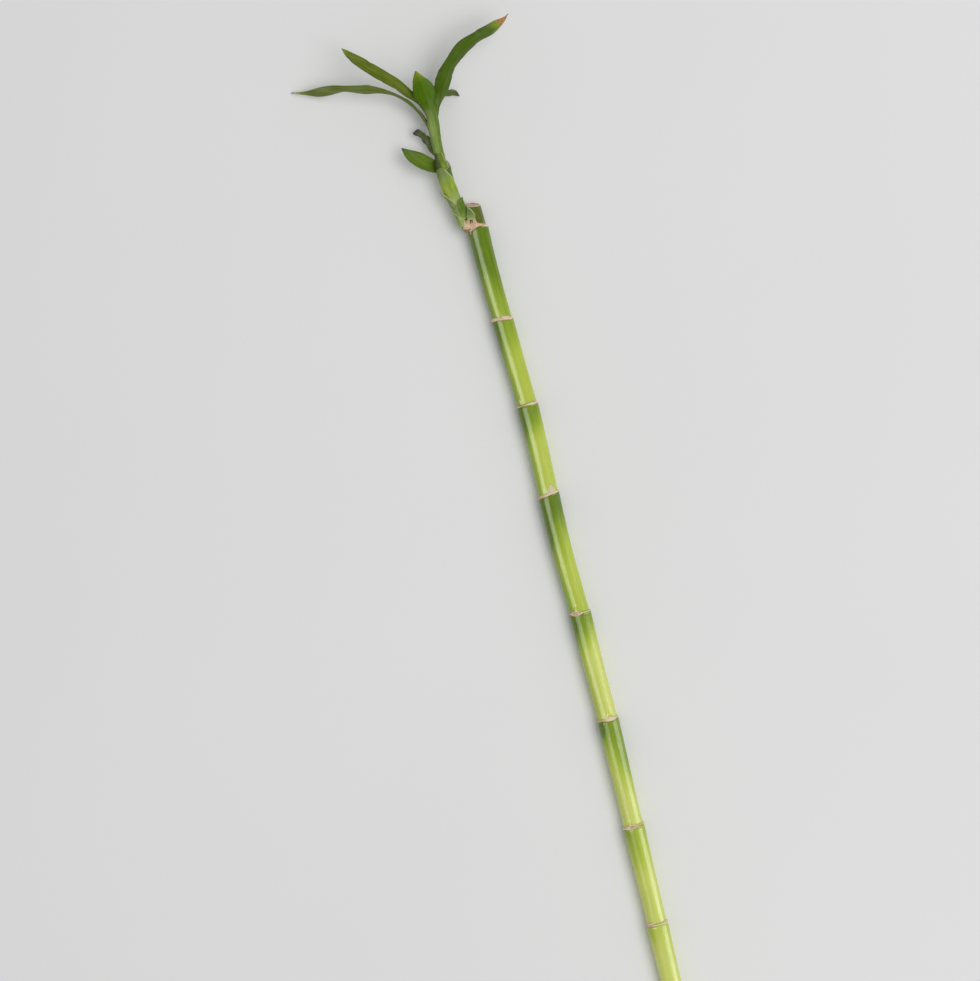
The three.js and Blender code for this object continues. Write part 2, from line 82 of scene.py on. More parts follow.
# The rings from the foot to the top one. Each has its place along the cane, its sideways sway and slant,
# how far the cane bows sideways above it and the angle of the dormant bud there, where the top one has
# the shoot; the angle of its rusty patch, the tan band's half height with its swellings (angle, half
# width in degrees, extra half height), and whether they hang below the band; and the green below it: how
# deep it is at the ring and further down, between which distances from the ring it fades, and towards
# which angle and by how much the deep part reaches lower.
RINGS = [
    dict(x=8, y=0.1, bow=0, slant=0.2, bud=80, rust=120, band=0.55, swell=[(100, 30, 0.4)],
         deep=(0.2, 0.1), fade=(0, 6), lean=(90, 0)),
    dict(x=57.4, y=-0.7, bow=0, slant=0.1, bud=255, rust=40, band=0.3,
         swell=[(35, 32, 0.6), (148, 22, 0.4)], deep=(0.25, 0.0), fade=(0, 20), lean=(90, 2)),
    dict(x=107.5, y=-1.3, bow=0, slant=-0.3, bud=75, rust=130, band=0.45, swell=[(75, 30, 0.6)],
         deep=(0.5, 0.08), fade=(0, 28), lean=(60, 4)),
    dict(x=162.4, y=-2.1, bow=0.15, slant=-0.1, bud=100, rust=60, band=0.3, swell=[(98, 34, 0.7)],
         deep=(0.79, 0.04), fade=(3, 36), lean=(165, 14)),
    dict(x=217.4, y=-1.8, bow=0.65, slant=0.3, bud=70, rust=50, band=0.25, swell=[(62, 32, 0.95)],
         hangs=True, deep=(0.78, 0.04), fade=(2, 24), lean=(30, 3)),
    dict(x=278.3, y=-1.2, bow=-0.3, slant=-0.7, bud=110, rust=40, band=0.45, swell=[(50, 40, 0.3)],
         deep=(0.93, 0.3), fade=(5, 36), lean=(30, 4)),
    dict(x=324.3, y=-2, bow=0, slant=-0.2, bud=45, rust=60, band=0.4, swell=[(130, 40, 0.2)],
         deep=(0.8, 0.24), fade=(2, 20), lean=(40, 4)),
    dict(x=369, y=-0.5, bow=0.4, slant=0.5, bud=108, rust=100, band=0.6,
         swell=[(112, 34, 0.5), (30, 30, 0.3)], hangs=True,
         deep=(0.68, 0.32), fade=(3, 24), lean=(20, 3)),
    dict(x=417.2, y=0.2, slant=1.4, rust=30, band=0.6, swell=[(60, 40, 0.3)],
         deep=(0.94, 0.48), fade=(8, 42), lean=(150, 12)),
]
SCARRED_RING = 5  # the ring whose bud left an open triangular scar

# The shoot.
SHOOT_AXIS = [
    (414.3, 3.6, 7.6), (418.5, 5.5, 8.4), (426.1, 6.7, 8.8), (433.6, 8.1, 9.0), (441.1, 9.3, 9.2),
    (447.9, 9.7, 9.5), (454.6, 9.7, 9.9), (462.3, 9.6, 10.3), (469.9, 8.9, 10.7), (477.0, 8.4, 11.2),
]
BURIED = 4.7  # length of that axis inside the cane: stations count from where it comes out
STEM_RADII = [
    (-3, 2.4), (-1.5, 2.6), (0.8, 2.6), (2, 2.3), (3.5, 1.75), (11, 1.6), (14, 1.85), (18, 2.35),
    (22, 2.7), (25, 1.9), (30, 1.6), (34, 1.2), (38, 0.9), (54, 0.6),
]
SHOOT_ROWS, SHOOT_SIDES = 230, 48
RADII_ROWS, RADII_MEAN = 600, 13  # places of its radii, and how many neighbours each is the mean of
PLATE = 0.6  # thickness of a sheath
LEAF_ROWS, SCALE_ROWS, BRACT_ROWS, HUSK_ROWS = 260, 70, 60, 220
PLATE_SIDES, BRACT_SIDES = 56, 48  # points round a plate's section
BLADE_TAPER, SCALE_TAPER = 1.9, 1.3
LEAF_CLEARANCE = 0.05  # no leaf comes lower over the table
TWIST_BY = 0.45  # share of the way from collar to tip over which a blade twists
COLLAR_FROM = 0.72  # share of a sheath where its edges begin to open to the collar

# Leaves and scales: where the sheath clasps the shoot (angle, from, to, inside radii from its foot to
# its collar, half wraps at foot and collar), and the midrib's points beyond the collar. Opens is the
# share of a sheath where its edges begin to part, and roll turns its lower seam away from there. A leaf
# also has a neck, where it opens into a blade; the blade's half width and half angle at its foot
# (petiole), its greatest half width, the share where it has that (peak) and how late it narrows (taper),
# its half angle (channel), its twist, by which share it is twisted, and a turn further out. Waves are
# (count, height, phase), creases (share of the blade, side, half length in share, depth) and nicks
# (share of the blade, side, half length in share, part of the half width that is missing).
LEAVES = {
    "base_scale_left": dict(
        angle=5, sheath=(0.2, 6.5), radii=(2.95, 2.85, 3.0), wrap=(112, 75),
        blade=[(427.3, 10.8, 8.8)]),
    "scale_leaf_left": dict(
        angle=5, sheath=(4.2, 15), radii=(2.15, 2.75, 3.4), wrap=(115, 97),
        blade=[(434.6, 12.3, 9.4), (437.6, 14.2, 9.6)]),
    "scale_leaf_right": dict(
        angle=154, sheath=(2.8, 12), radii=(2.1, 3.0, 3.5), wrap=(84, 76), taper=7,
        blade=[(432.4, 3.9, 11)]),
    "lower_left_leaf": dict(
        angle=-80, sheath=(5.5, 31.5), radii=(1.95, 3.15, 3.3), wrap=(179, 125), opens=0.9, roll=-72,
        neck=4, petiole=(3.4, 55),
        blade=[(450.9, 13.9, 7.7), (453, 17, 9.6), (455.4, 19.9, 10.6), (458.7, 23.6, 10.4),
               (463.7, 27.2, 9)],
        half_width=3.8, channel=28, twist=-8, waves=(1.5, 0.35, 0.6), creases=[(0.5, 1, 0.05, 0.25)]),
    "crinkled_left_leaf": dict(
        angle=-30, sheath=(20, 37.2), radii=(2.1, 2.4, 2.7, 3.05, 2.15), wrap=(179, 165), opens=0.93,
        neck=2.2, petiole=(1.7, 60),
        blade=[(459.4, 13.4, 6.7), (463.8, 14.2, 6.3), (466.8, 15.4, 5.9), (468.6, 17.2, 5.9),
               (470.2, 19.5, 5.3)],
        half_width=2.9, peak=0.5, taper=5, channel=40, twist=62, waves=(2.4, 0.7, 1.2),
        creases=[(0.3, 1, 0.05, 0.5), (0.55, -1, 0.06, -0.5), (0.7, 1, 0.05, 0.4)],
        nicks=[(0.62, -1, 0.03, 0.2), (0.85, 1, 0.03, 0.15)]),
    "far_left_leaf": dict(
        angle=-20, sheath=(34, 49), radii=(1.35, 1.95, 2.15), wrap=(50, 40), neck=7, petiole=(1.6, 50),
        blade=[(474.8, 12.8, 10.2), (482.5, 16.8, 10.8), (489.7, 23.8, 11.8), (493.6, 33.1, 12.8),
               (498, 45.6, 12.2), (500.4, 57.9, 8.2), (502.6, 66.0, 4.2), (505.3, 74.1, 0.75)],
        half_width=3.1, peak=0.55, taper=2.6, channel=24, twist=42, turn=25, waves=(3.2, 0.7, 0.4),
        creases=[(0.45, -1, 0.03, 0.3), (0.62, 1, 0.03, 0.3)]),
    "upper_left_leaf": dict(
        angle=33, sheath=(41, 55), radii=(0.95, 1.1, 1.5), wrap=(80, 60), neck=6, petiole=(1.9, 50),
        blade=[(482.3, 12.8, 13.4), (487.5, 17.1, 16.5), (493.1, 21.7, 19.2), (497.1, 26, 20.6),
               (501.4, 30.4, 21.7), (506.1, 35.2, 23), (510.6, 39.7, 23.8), (516.1, 43.6, 24)],
        half_width=2.9, peak=0.64, taper=3, channel=26, twist=48, waves=(2.2, 0.35, 2.1),
        creases=[(0.45, 1, 0.03, 0.2)],
        nicks=[(0.35, 1, 0.03, 0.1), (0.52, 1, 0.02, 0.1), (0.7, -1, 0.03, 0.1),
               (0.88, 1, 0.02, 0.12)]),
    "front_leaf": dict(
        angle=93, sheath=(30, 57), radii=(1.5, 2.1, 2.6), wrap=(178, 72), neck=5, petiole=(3.5, 52),
        blade=[(479.6, 9.1, 14.9), (484.4, 9.3, 18.4), (488.3, 9.9, 22), (491.6, 10.7, 25.5),
               (495.4, 11.1, 29.5)],
        half_width=5.9, peak=0.3, taper=1.6, channel=28, twist=0, waves=(1.2, 0.3, 0),
        creases=[(0.3, -1, 0.06, 0.25)]),
    "right_leaf": dict(
        angle=190, sheath=(41, 53), radii=(0.95, 1.1, 1.5), wrap=(80, 60), neck=6, petiole=(2.9, 40),
        blade=[(479.2, 4.2, 10.6), (483.7, 1.7, 12.2), (488.7, -1.3, 15.6), (492.9, -4.3, 18.0),
               (497.5, -8.7, 20), (501.3, -13.8, 21), (503.7, -19.8, 21.4), (506.2, -25.6, 20.8),
               (508, -31.6, 19.4), (510.4, -36.6, 17.6), (514.0, -40.3, 15.6)],
        half_width=4.6, peak=0.2, taper=6.5, channel=30, twist=-62, turn=10, twist_by=0.24,
        waves=(3.4, 0.5, 1.1),
        creases=[(0.24, 1, 0.02, 0.4), (0.31, 1, 0.018, 0.35), (0.7, 1, 0.02, 0.3)],
        nicks=[(0.3, -1, 0.012, 0.12), (0.37, -1, 0.012, 0.1), (0.66, -1, 0.02, 0.14),
               (0.97, -1, 0.04, 0.3)]),
    "back_right_leaf": dict(
        angle=238, sheath=(35.5, 47), radii=(1.35, 1.95, 2.15), wrap=(60, 50), neck=6,
        petiole=(1.4, 45),
        blade=[(471.7, 7.6, 7.0), (477.3, 6.1, 5.9), (481.7, 3.8, 5.1), (484.6, 1, 4.4),
               (485.1, -2, 3.7), (484.6, -4.7, 2.9), (482.8, -7.5, 1.6)],
        half_width=3.1, peak=0.5, taper=3.5, channel=30, twist=-62, twist_by=0.3, waves=(2.2, 0.5, 0.9),
        creases=[(0.4, 1, 0.05, 0.3), (0.65, -1, 0.05, 0.3)], nicks=[(0.86, -1, 0.04, 0.3)]),
}
BRACT_MIDRIB = [(420.2, 2.2, 11.6), (423.8, 2.2, 11.3), (427.4, 3.0, 11.6)]
BRACT_FOOT, BRACT_HALF_WIDTH, BRACT_CHANNEL, BRACT_LEAN = 1.7, 2.3, 15, 14
BRACT_PEAK, BRACT_TAPER = 0.25, 1.2

# The dry sheath's torn edges: distances from the top ring at angles round the cane.
HUSK_ANGLES = [28, 32, 37, 41, 45, 48, 51, 54, 57, 60, 64, 68, 71, 75, 80, 84, 88, 92, 104, 122]
HUSK_LOWER = [-2.5, -2.9, -3.2, -3.4, -4.2, -5.4, -4.6, -3.7, -3.3, -3.1, -3.0, -2.8, -2.6, -2.3, -1.9,
              -1.6, -1.4, -1.2, -0.9, -0.5]
HUSK_UPPER = [-2.2, -1.8, -1.2, -0.5, 0.4, 2.6, 0.9, 3.1, 0.8, 0.5, 2.4, 0.9, 1.3, 2.6, 4.2,
              5.2, 4.4, 1.3, 0.6, 0.3]
FOOT_COVER = 2.75  # the radius that the dry sheath takes the shoot's foot for
HUSK_GAP = 0.3  # how far the dry sheath's inside stays off what it covers
# The cane's radius that it lies on, at distances from the top ring.
HUSK_REST = [-RING_FLANK, -0.5, 0.4, 1.4], [SHOULDER_RADIUS, 5.55, 5.4, STUB_START]

# How each leaf is coloured: its blade and the blade's second tone, its sheath, its margin, and its dry
# tip with that tip's length in mm. Some have more: how far the yellowing reaches behind the tip in mm,
# the colour of the collar's edge, the sheath's tone at its foot, where across painted shade darkens the
# sheath to one side and how much, and between which shares of its half width a flank is as dark as the
# blade, with painted shadow in the fork.
LEAF_TONES = {
    "lower_left_leaf": dict(
        blade=(0.095, 0.175, 0.003), second=(0.15, 0.24, 0.006), sheath=(0.25, 0.36, 0.05),
        margin=(0.17, 0.24, 0.06), tip=(0.07, 0.075, 0.05), dry=1.6, collar=(0.6, 0.62, 0.33),
        foot=(0.4, 0.52, 0.17), side=(0.35, 0.62, 0.8)),
    "crinkled_left_leaf": dict(
        blade=(0.085, 0.115, 0.022), second=(0.14, 0.175, 0.065), sheath=(0.18, 0.26, 0.03),
        margin=(0.2, 0.23, 0.12), tip=(0.1, 0.115, 0.06), dry=3.2, collar=(0.6, 0.62, 0.33),
        flank=(-0.62, 0.47)),
    "far_left_leaf": dict(
        blade=(0.12, 0.165, 0.022), second=(0.185, 0.235, 0.055), sheath=(0.13, 0.19, 0.03),
        margin=(0.3, 0.36, 0.12), tip=(0.5, 0.52, 0.24), dry=6.0, yellow=5.0),
    "upper_left_leaf": dict(
        blade=(0.1, 0.155, 0.008), second=(0.17, 0.225, 0.025), sheath=(0.12, 0.2, 0.015),
        margin=(0.26, 0.33, 0.07), tip=(0.2, 0.23, 0.03), dry=1.2, yellow=4.0),
    "front_leaf": dict(
        blade=(0.066, 0.152, 0.001), second=(0.1, 0.19, 0.002), sheath=(0.2, 0.29, 0.06),
        margin=(0.05, 0.1, 0.005), tip=(0.12, 0.11, 0.04), dry=0.9, yellow=8.0,
        side=(0.02, -0.2, 0.6)),
    "right_leaf": dict(
        blade=(0.062, 0.125, 0.002), second=(0.092, 0.155, 0.012), sheath=(0.17, 0.24, 0.05),
        margin=(0.06, 0.095, 0.012), tip=(0.52, 0.25, 0.08), dry=8.5, yellow=6.0),
    "back_right_leaf": dict(
        blade=(0.09, 0.135, 0.022), second=(0.145, 0.185, 0.055), sheath=(0.13, 0.2, 0.03),
        margin=(0.24, 0.28, 0.1), tip=(0.1, 0.115, 0.06), dry=2.4),
}


def smooth(low, high, x):
    """3 t^2 - 2 t^3, where t is how far x is from low to high, kept from 0 to 1."""
    t = np.clip((x - low) / (high - low), 0, 1)
    return t * t * (3 - 2 * t)


def mix(a, b, t):
    return a + (b - a) * t


def unit(v):
    return v / np.linalg.norm(v, axis=-1, keepdims=True)


def ripple(seed, *terms):
    """A smooth uneven value from -1 to 1: the mean of six sines of the terms' sums with seeded waves."""
    random = np.random.default_rng(seed)
    total = 0
    for _ in range(6):
        weights = random.uniform(0.5, 1.6, len(terms)) * random.choice([-1, 1], len(terms))
        total = total + np.sin(sum(w * t for w, t in zip(weights, terms)) + random.uniform(0, 6.3))
    return total / 6


def smooth_line(points, shares):
    """Places and directions at shares of the length of a centripetal Catmull-Rom curve.

    Each span is c0 + c1 t + c2 t^2 + c3 t^3; its end slopes come from the neighbouring points, spaced
    by the square roots of their distances."""
    p = np.asarray(points, float)
    p = np.vstack([2 * p[0] - p[1], p, 2 * p[-1] - p[-2]])
    step = np.maximum(np.linalg.norm(np.diff(p, axis=0), axis=1) ** 0.5, 1e-6)[:, None]
    x0, x1, x2, x3 = p[:-3], p[1:-2], p[2:-1], p[3:]
    d0, d1, d2 = step[:-2], step[1:-1], step[2:]
    slope1 = ((x1 - x0) / d0 - (x2 - x0) / (d0 + d1) + (x2 - x1) / d1) * d1
    slope2 = ((x2 - x1) / d1 - (x3 - x1) / (d1 + d2) + (x3 - x2) / d2) * d1
    c2 = -3 * x1 + 3 * x2 - 2 * slope1 - slope2
    c3 = 2 * x1 - 2 * x2 + slope1 + slope2
    t = np.linspace(0, 1, SPAN_STEPS)[None, :, None]
    path = (x1[:, None] + slope1[:, None] * t + c2[:, None] * t**2 + c3[:, None] * t**3).reshape(-1, 3)
    ways = (slope1[:, None] + 2 * c2[:, None] * t + 3 * c3[:, None] * t**2).reshape(-1, 3)
    run = np.concatenate([[0], np.cumsum(np.linalg.norm(np.diff(path, axis=0), axis=1))])
    at = np.asarray(shares) * run[-1]
    place_at = np.stack([np.interp(at, run, path[:, k]) for k in range(3)], -1)
    way_at = np.stack([np.interp(at, run, ways[:, k]) for k in range(3)], -1)
    return place_at, unit(way_at), run[-1]


def shoot_frame(stations):
    """The shoot's axis at stations: its point, its direction, and the directions to the left and up."""
    length = smooth_line(SHOOT_AXIS, [0])[2]
    point, along, _ = smooth_line(SHOOT_AXIS, np.clip((np.asarray(stations) + BURIED) / length, 0, 1))
    left = unit(np.cross([0.0, 0.0, 1.0], along))
    return point, along, left, np.cross(along, left)


def carried(facing, along):
    """A direction carried along a path: at each step it loses its part along the path."""
    out = np.empty_like(along)
    for k, way in enumerate(along):
        facing = facing - facing.dot(way) * way
        facing = facing / np.linalg.norm(facing)
        out[k] = facing
    return out


def blade_width(share, start, widest, peak=0.36, taper=BLADE_TAPER):
    """start + (widest - start) sin(90 deg share / peak) up to the peak, then widest (1 - t^taper)."""
    rising = mix(start, widest, np.sin(np.pi / 2 * np.clip(share / peak, 0, 1)))
    falling = widest * (1 - np.clip((share - peak) / (1 - peak), 0, 1) ** taper)
    return np.where(share < peak, rising, np.maximum(falling, 0.09))


def place(points):
    """Millimetres from the cane's foot to metres in the frame."""
    return (points - ORIGIN) * MM


def linked(name, data):
    thing = bpy.data.objects.new(name, data)
    bpy.context.scene.collection.objects.link(thing)
    return thing


def skin(name, rings, traits, finish, slot, *nodes):
    """A closed skin over rows of rings of points, with a pole at both ends, as a piece of the stem.

    rings is rows x sides x 3 in mm. traits are values per point that its finish reads."""
    rows, sides = rings.shape[:2]
    points = np.vstack([rings.reshape(-1, 3), rings[0].mean(0), rings[-1].mean(0)])
    row, side = np.meshgrid(np.arange(rows - 1), np.arange(sides), indexing="ij")
    a, b = row * sides + side, row * sides + (side + 1) % sides
    quads = np.stack([a, a + sides, b + sides, b], -1).reshape(-1, 4)
    s = np.arange(sides)
    t = (s + 1) % sides
    last = (rows - 1) * sides
    foot = np.stack([np.full(sides, rows * sides), s, t], -1)
    tip = np.stack([np.full(sides, rows * sides + 1), last + t, last + s], -1)
    if volume(points, quads, foot, tip) < 0:
        quads, foot, tip = quads[:, ::-1], foot[:, ::-1], tip[:, ::-1]
    mesh = bpy.data.meshes.new(name)
    mesh.from_pydata(place(points).tolist(), [], [*quads.tolist(), *foot.tolist(), *tip.tolist()])
    mesh.shade_smooth()
    for key, value in traits.items():
        value = np.broadcast_to(value, (rows, sides))
        flat = np.concatenate([value.reshape(-1), [value[0].mean(), value[-1].mean()]])
        mesh.attributes.new(key, "FLOAT", "POINT").data.foreach_set("value", flat.astype(np.float32))
    mesh.validate()
    mesh.materials.append(finish)
    piece = linked(name, mesh)
    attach(piece, "root")
    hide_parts(*nodes)


def volume(points, quads, *fans):
    """The signed volume inside faces: a sixth of the sum of a . (b x c) over their triangles."""
    triangles = np.vstack([quads[:, [0, 1, 2]], quads[:, [0, 2, 3]], *fans])
    a, b, c = (points[triangles[:, k]] - points.mean(0) for k in range(3))
    return (a * np.cross(b, c)).sum() / 6


# The cane.


def cane_rows():
    """Places of the grid's rows along the cane, close together at rings, foot and stub."""
    near = [ring["x"] + np.arange(*NEAR_RING, RING_STEP) for ring in RINGS]
    ends = [np.arange(0, 1.2, END_STEP), STUB_TOP - np.arange(0, 1.8, END_STEP)]
    places = np.sort(np.concatenate([np.arange(0, STUB_TOP, ROW_STEP), *near, *ends]))
    places = places[(places >= 0) & (places <= STUB_TOP)]
    return places[np.concatenate([[True], np.diff(places) > LEAST_STEP])]


def cane_slant(u):
    """The slant of the rows: full at a ring, half a bud's length above it, none between rings."""
    knots, values = [0], [0]
    for ring, upper in zip(RINGS, [*RINGS[1:], None]):
        knots += [ring["x"] - RING_FLANK, ring["x"] + 0.9, ring["x"] + BUD["length"]]
        values += [ring["slant"], ring["slant"] * 0.89, ring["slant"] * 0.5]
        if upper:
            knots += [mix(ring["x"], upper["x"], 0.25), mix(ring["x"], upper["x"], 0.75)]
            values += [0, 0]
    knots += [STUB_SLANTED]
    values += [STUB_SLANT]
    return np.interp(u, knots, values)


def cane_sway(u):
    """The axis' sideways sway: straight from ring to ring, plus bow sin(180 deg share) between two."""
    ys = [ring["y"] for ring in RINGS]
    sway = np.interp(u, [0, *[ring["x"] for ring in RINGS], STUB_TOP], [0, *ys, ys[-1]])
    for ring, upper in zip(RINGS, RINGS[1:]):
        between = np.clip((u - ring["x"]) / (upper["x"] - ring["x"]), 0, 1)
        sway = sway + ring["bow"] * np.sin(np.pi * between)
    return sway


def bare_radius(u):
    """The radius between rings, mix(4.9, 5.45, share^1.7) of each stretch, and the stub's."""
    xs = np.array([ring["x"] for ring in RINGS])
    k = np.clip(np.searchsorted(xs + DROP_TO, u, side="right") - 1, -1, len(RINGS) - 1)
    low = np.where(k < 0, 0.0, xs[k])
    high = np.where(k + 1 < len(RINGS), xs[np.minimum(k + 1, len(RINGS) - 1)], STUB_TOP)
    share = np.clip((u - low) / (high - low), 0, 1)
    body = np.where(k < 0, SHOULDER_RADIUS, mix(FOOT_RADIUS, SHOULDER_RADIUS, share**SHOULDER_SWELL))
    return np.where(k == len(RINGS) - 1, mix(STUB_START, STUB_END, share), body)


def turned_from(angle, centre):
    """Degrees from an angle to a centre round the cane, -180 to 180."""
    return (angle - centre + 540) % 360 - 180


def inside_band(n, du, angle):
    """How far inside ring n's tan band a point is: the band's uneven half height, which swells by
    extra exp(-(turn / width)^4), less the point's distance from its middle."""
    ring, turn = RINGS[n], np.radians(angle)
    half = ring["band"] + sum(
        extra * np.exp(-((turned_from(angle, at) / width) ** 4)) for at, width, extra in ring["swell"])
    half = half * (1 + 0.18 * ripple(n, 5 * turn, 11 * turn))
    middle = BAND_MIDDLE + 0.5 * (half - ring["band"]) * (-0.4 if "hangs" in ring else 0.3)
    return half - np.abs(du - middle + 0.07 * ripple(n + 40, 14 * turn, 23 * turn))


def ring_relief(n, du, turn, inside):
    """What ring n adds to the radius: a smooth step down beyond it, a crest exp(-(du / 0.5)^2), a
    crease under that, and the band, which stands proud and is rough."""
    step = SHOULDER_RADIUS - (STUB_START if n == len(RINGS) - 1 else FOOT_RADIUS)
    drop = np.where(du <= DROP_TO, -step * smooth(DROP_FROM, DROP_TO, du) * (du > DROP_START), 0)
    crest = 0.1 * np.exp(-(((du + 0.25) / 0.5) ** 2)) - 0.1 * np.exp(-(((du + 1.35) / 0.28) ** 2))
    proud = 0.07 * smooth(-0.1, 0.3, inside)
    rough = 0.03 * ripple(n + 20, 31 * turn, 9 * du) * smooth(0, 0.2, inside)
    near = (du > NEAR_RING[0]) & (du < NEAR_RING[1])
    return near * (drop + crest + proud + rough)


def ring_green(n, u, du, angle):
    """How deep the green under ring n is: it fades by a smooth step of the distance, which the lean
    stretches towards one side and ripples make uneven."""
    ring, turn, leaning = RINGS[n], np.radians(angle), smooth(0, 12, -du)
    lowest, reach = ring["lean"]
    reached = reach * np.cos(np.radians(turned_from(angle, lowest)))
    wander = 3 * ripple(n + 60, 2 * turn, 0.1 * u) + 1.5 * ripple(n + 80, 17 * turn, 0.15 * u)
    (at_ring, rest), (fade_from, fade_to) = ring["deep"], ring["fade"]
    return mix(at_ring, rest, smooth(fade_from, fade_to, -du - reached * leaning + wander * leaning))


def cut_face(rim, sunk, turn):
    """Rows that close in from a cut's rim on its axis, sunk by a smooth, uneven step."""
    centre = rim.mean(0)
    face = centre + (rim - centre)[None] * CUT_ROWS[..., None]
    face[..., 0] += sunk * smooth(1, 0.5, CUT_ROWS) * (1 + 0.4 * ripple(11, 3 * turn, 7 * CUT_ROWS))
    return face


def cane_skin(settings):
    """The cane as radius over place u and angle a round the swaying axis: the bare radius, each ring's
    relief, a low wedge as its bud or scar, a lip round the stub's cut, and a cut face at both ends."""
    u = cane_rows()[:, None]
    angle = (np.arange(CANE_SIDES) * 360 / CANE_SIDES)[None, :]
    turn = np.radians(angle)
    r = bare_radius(u) + 0 * angle
    band, scar, du_near = (np.full(r.shape, value) for value in (OFF_BAND, OFF_BAND, NO_RING))
    rust, deep = np.zeros(r.shape), np.zeros(r.shape)
    for n, ring in enumerate(RINGS):
        du = u - ring["x"] + 0 * angle
        inside = inside_band(n, du, angle)
        r = np.where((du > DROP_START) & (du <= DROP_TO), SHOULDER_RADIUS, r)
        r = r + ring_relief(n, du, turn, inside)
        nearest = np.abs(du) < np.abs(du_near)
        rusty = np.exp(-((turned_from(angle, ring["rust"]) / RUST_WIDTH) ** 2))
        band, rust = np.where(nearest, inside, band), np.where(nearest, rusty, rust)
        du_near = np.where(nearest, du, du_near)
        if "bud" in ring:
            wedge = SCAR if n == SCARRED_RING else BUD
            turned = np.abs(turned_from(angle, ring["bud"]))
            edge = 1 - turned / wedge["half_angle"] - du / wedge["length"]
            r = r + wedge["height"] * smooth(0, 0.35, edge) * (du > DROP_TO)
            if n == SCARRED_RING:
                scar = np.where(du > 0, np.minimum(edge * 2, du), scar)
        below = RINGS[n - 1]["x"] if n else 0
        deep = np.where((u > below) & (du <= 0), ring_green(n, u, du, angle), deep)
    # The left side gets deeper green, partly the skin's own and partly painted shade, and painted shade
    # darkens its left edge further.
    below_ring = smooth(-11, -2, du_near) * (du_near <= 0)
    side_green_and_shade = SIDE_GREEN_AND_SHADE * smooth(90, 200, u) + NEAR_RING_GREEN_AND_SHADE * below_ring
    edge_shade = EDGE_SHADE * smooth(90, 150, u) * smooth(0.6, 0.95, np.cos(turn))
    deep = deep + side_green_and_shade * smooth(0.1, 0.85, np.cos(turn)) + edge_shade
    stub = smooth(RINGS[-1]["x"] + 0.5, RINGS[-1]["x"] + 1.2, u + 0 * angle)
    r = r + 0.035 * ripple(7, 3 * turn, 0.13 * u) + 0.012 * ripple(8, 19 * turn, 0.02 * u)
    from_top = STUB_TOP - u
    lip = 0.1 * np.exp(-(((from_top - 0.55) / 0.35) ** 2))
    r = r + lip * (1 + 0.5 * ripple(9, 7 * turn, 15 * turn)) - STUB_RIM * smooth(RIM_RUN, 0, from_top)
    r = r - FOOT_RIM * smooth(RIM_RUN, 0, u)
    x = u + cane_slant(u) * np.cos(turn) - STUB_LEAN * np.sin(turn) * smooth(STUB_TOP - 7, STUB_TOP, u)
    side = np.stack([x, cane_sway(u) + r * np.cos(turn), AXIS_HEIGHT + r * np.sin(turn)], -1)
    foot, top = cut_face(side[0], FOOT_SUNK, turn), cut_face(side[-1], STUB_SUNK, turn)
    points = np.concatenate([foot[::-1], side, top])
    points[..., 2] = np.maximum(points[..., 2], 0)

    def padded(value, *on_faces):
        """A trait's values on the side, between its values on the foot's and on the stub's cut face."""
        foot, top = (np.broadcast_to(on_face, (len(CUT_ROWS), CANE_SIDES)) for on_face in on_faces)
        return np.concatenate([foot, np.broadcast_to(value, r.shape), top])

    traits = {
        "band": padded(band, OFF_BAND, OFF_BAND),
        "seam": padded(du_near, NO_RING, NO_RING),
        "rust": padded(rust, 0, 0),
        "deep": padded(deep, 0, 0),
        "scar": padded(scar, OFF_BAND, OFF_BAND),
        "stub": padded(stub, 0, 1),
        "cut": padded(np.maximum(smooth(0.45, 0.05, u), smooth(1.0, 0.4, from_top)), 1, 1),
        "core": padded(1, CUT_ROWS[::-1], CUT_ROWS),
    }
    skin("ringed_cane", points, traits, cane_finish(settings), "cane", "cane")


# The shoot.


def shoot_skin():
    """A tube round the shoot's axis: r = the table's radius with fine ribs, smoothed along the axis."""
    first, last = STEM_RADII[0][0], STEM_RADII[-1][0]
    stations = np.linspace(first, last, SHOOT_ROWS)
    point, _, left, up = shoot_frame(stations)
    turn = 2 * np.pi * np.arange(SHOOT_SIDES) / SHOOT_SIDES
    fine = np.linspace(first, last, RADII_ROWS)
    table = np.pad(np.interp(fine, *zip(*STEM_RADII)), RADII_MEAN // 2, "edge")
    table = np.convolve(table, np.ones(RADII_MEAN) / RADII_MEAN, "valid")
    unevenness = 1 + 0.012 * ripple(3, 9 * turn, 0.3 * stations[:, None])
    r = np.interp(stations, fine, table)[:, None] * unevenness
    out = left[:, None] * np.cos(turn)[:, None] + up[:, None] * np.sin(turn)[:, None]
    points = point[:, None] + out * r[..., None]
    traits = {"station": stations[:, None]}
    skin("shoot_core", points, traits, shoot_finish(), "shoot", "shoot_stem")


# Leaves and scales. Each is a plate: d is the distance along its midrib, s goes from -1 to 1 across it.


def plate_ring(sides):
    """Round a plate's section: across from -1 to 1 on the upper face and back below, and the depth
    under the upper face as a share of the thickness, (1 - sign(sin) |sin|^0.5) / 2."""
    turn = 2 * np.pi * np.arange(sides) / sides
    return -np.cos(turn), 0.5 * (1 - np.sign(np.sin(turn)) * np.abs(np.sin(turn)) ** 0.5)


def plate_points(point, along, facing, half_width, half_angle, twist, lift, thick, kept=1, rolled=0):
    """A plate rolled about its midrib: M + F (R + w) + (R + depth) (S sin(sA) - F cos(sA)), R = W / A.

    kept is the part of the half width that nicks leave; rolled turns the section about its centre."""
    s, depth = plate_ring(lift.shape[1])
    face = carried(facing, along)
    twist = np.radians(twist)
    face = face * np.cos(twist) + np.cross(along, face) * np.sin(twist)
    side = np.cross(along, face)
    radius = half_width / half_angle
    turn = s * half_angle * kept + np.radians(rolled)
    out = side[:, None] * np.sin(turn)[..., None] - face[:, None] * np.cos(turn)[..., None]
    centre = point[:, None] + face[:, None] * (radius + lift)[..., None]
    return centre + out * (radius + thick * depth)[..., None]


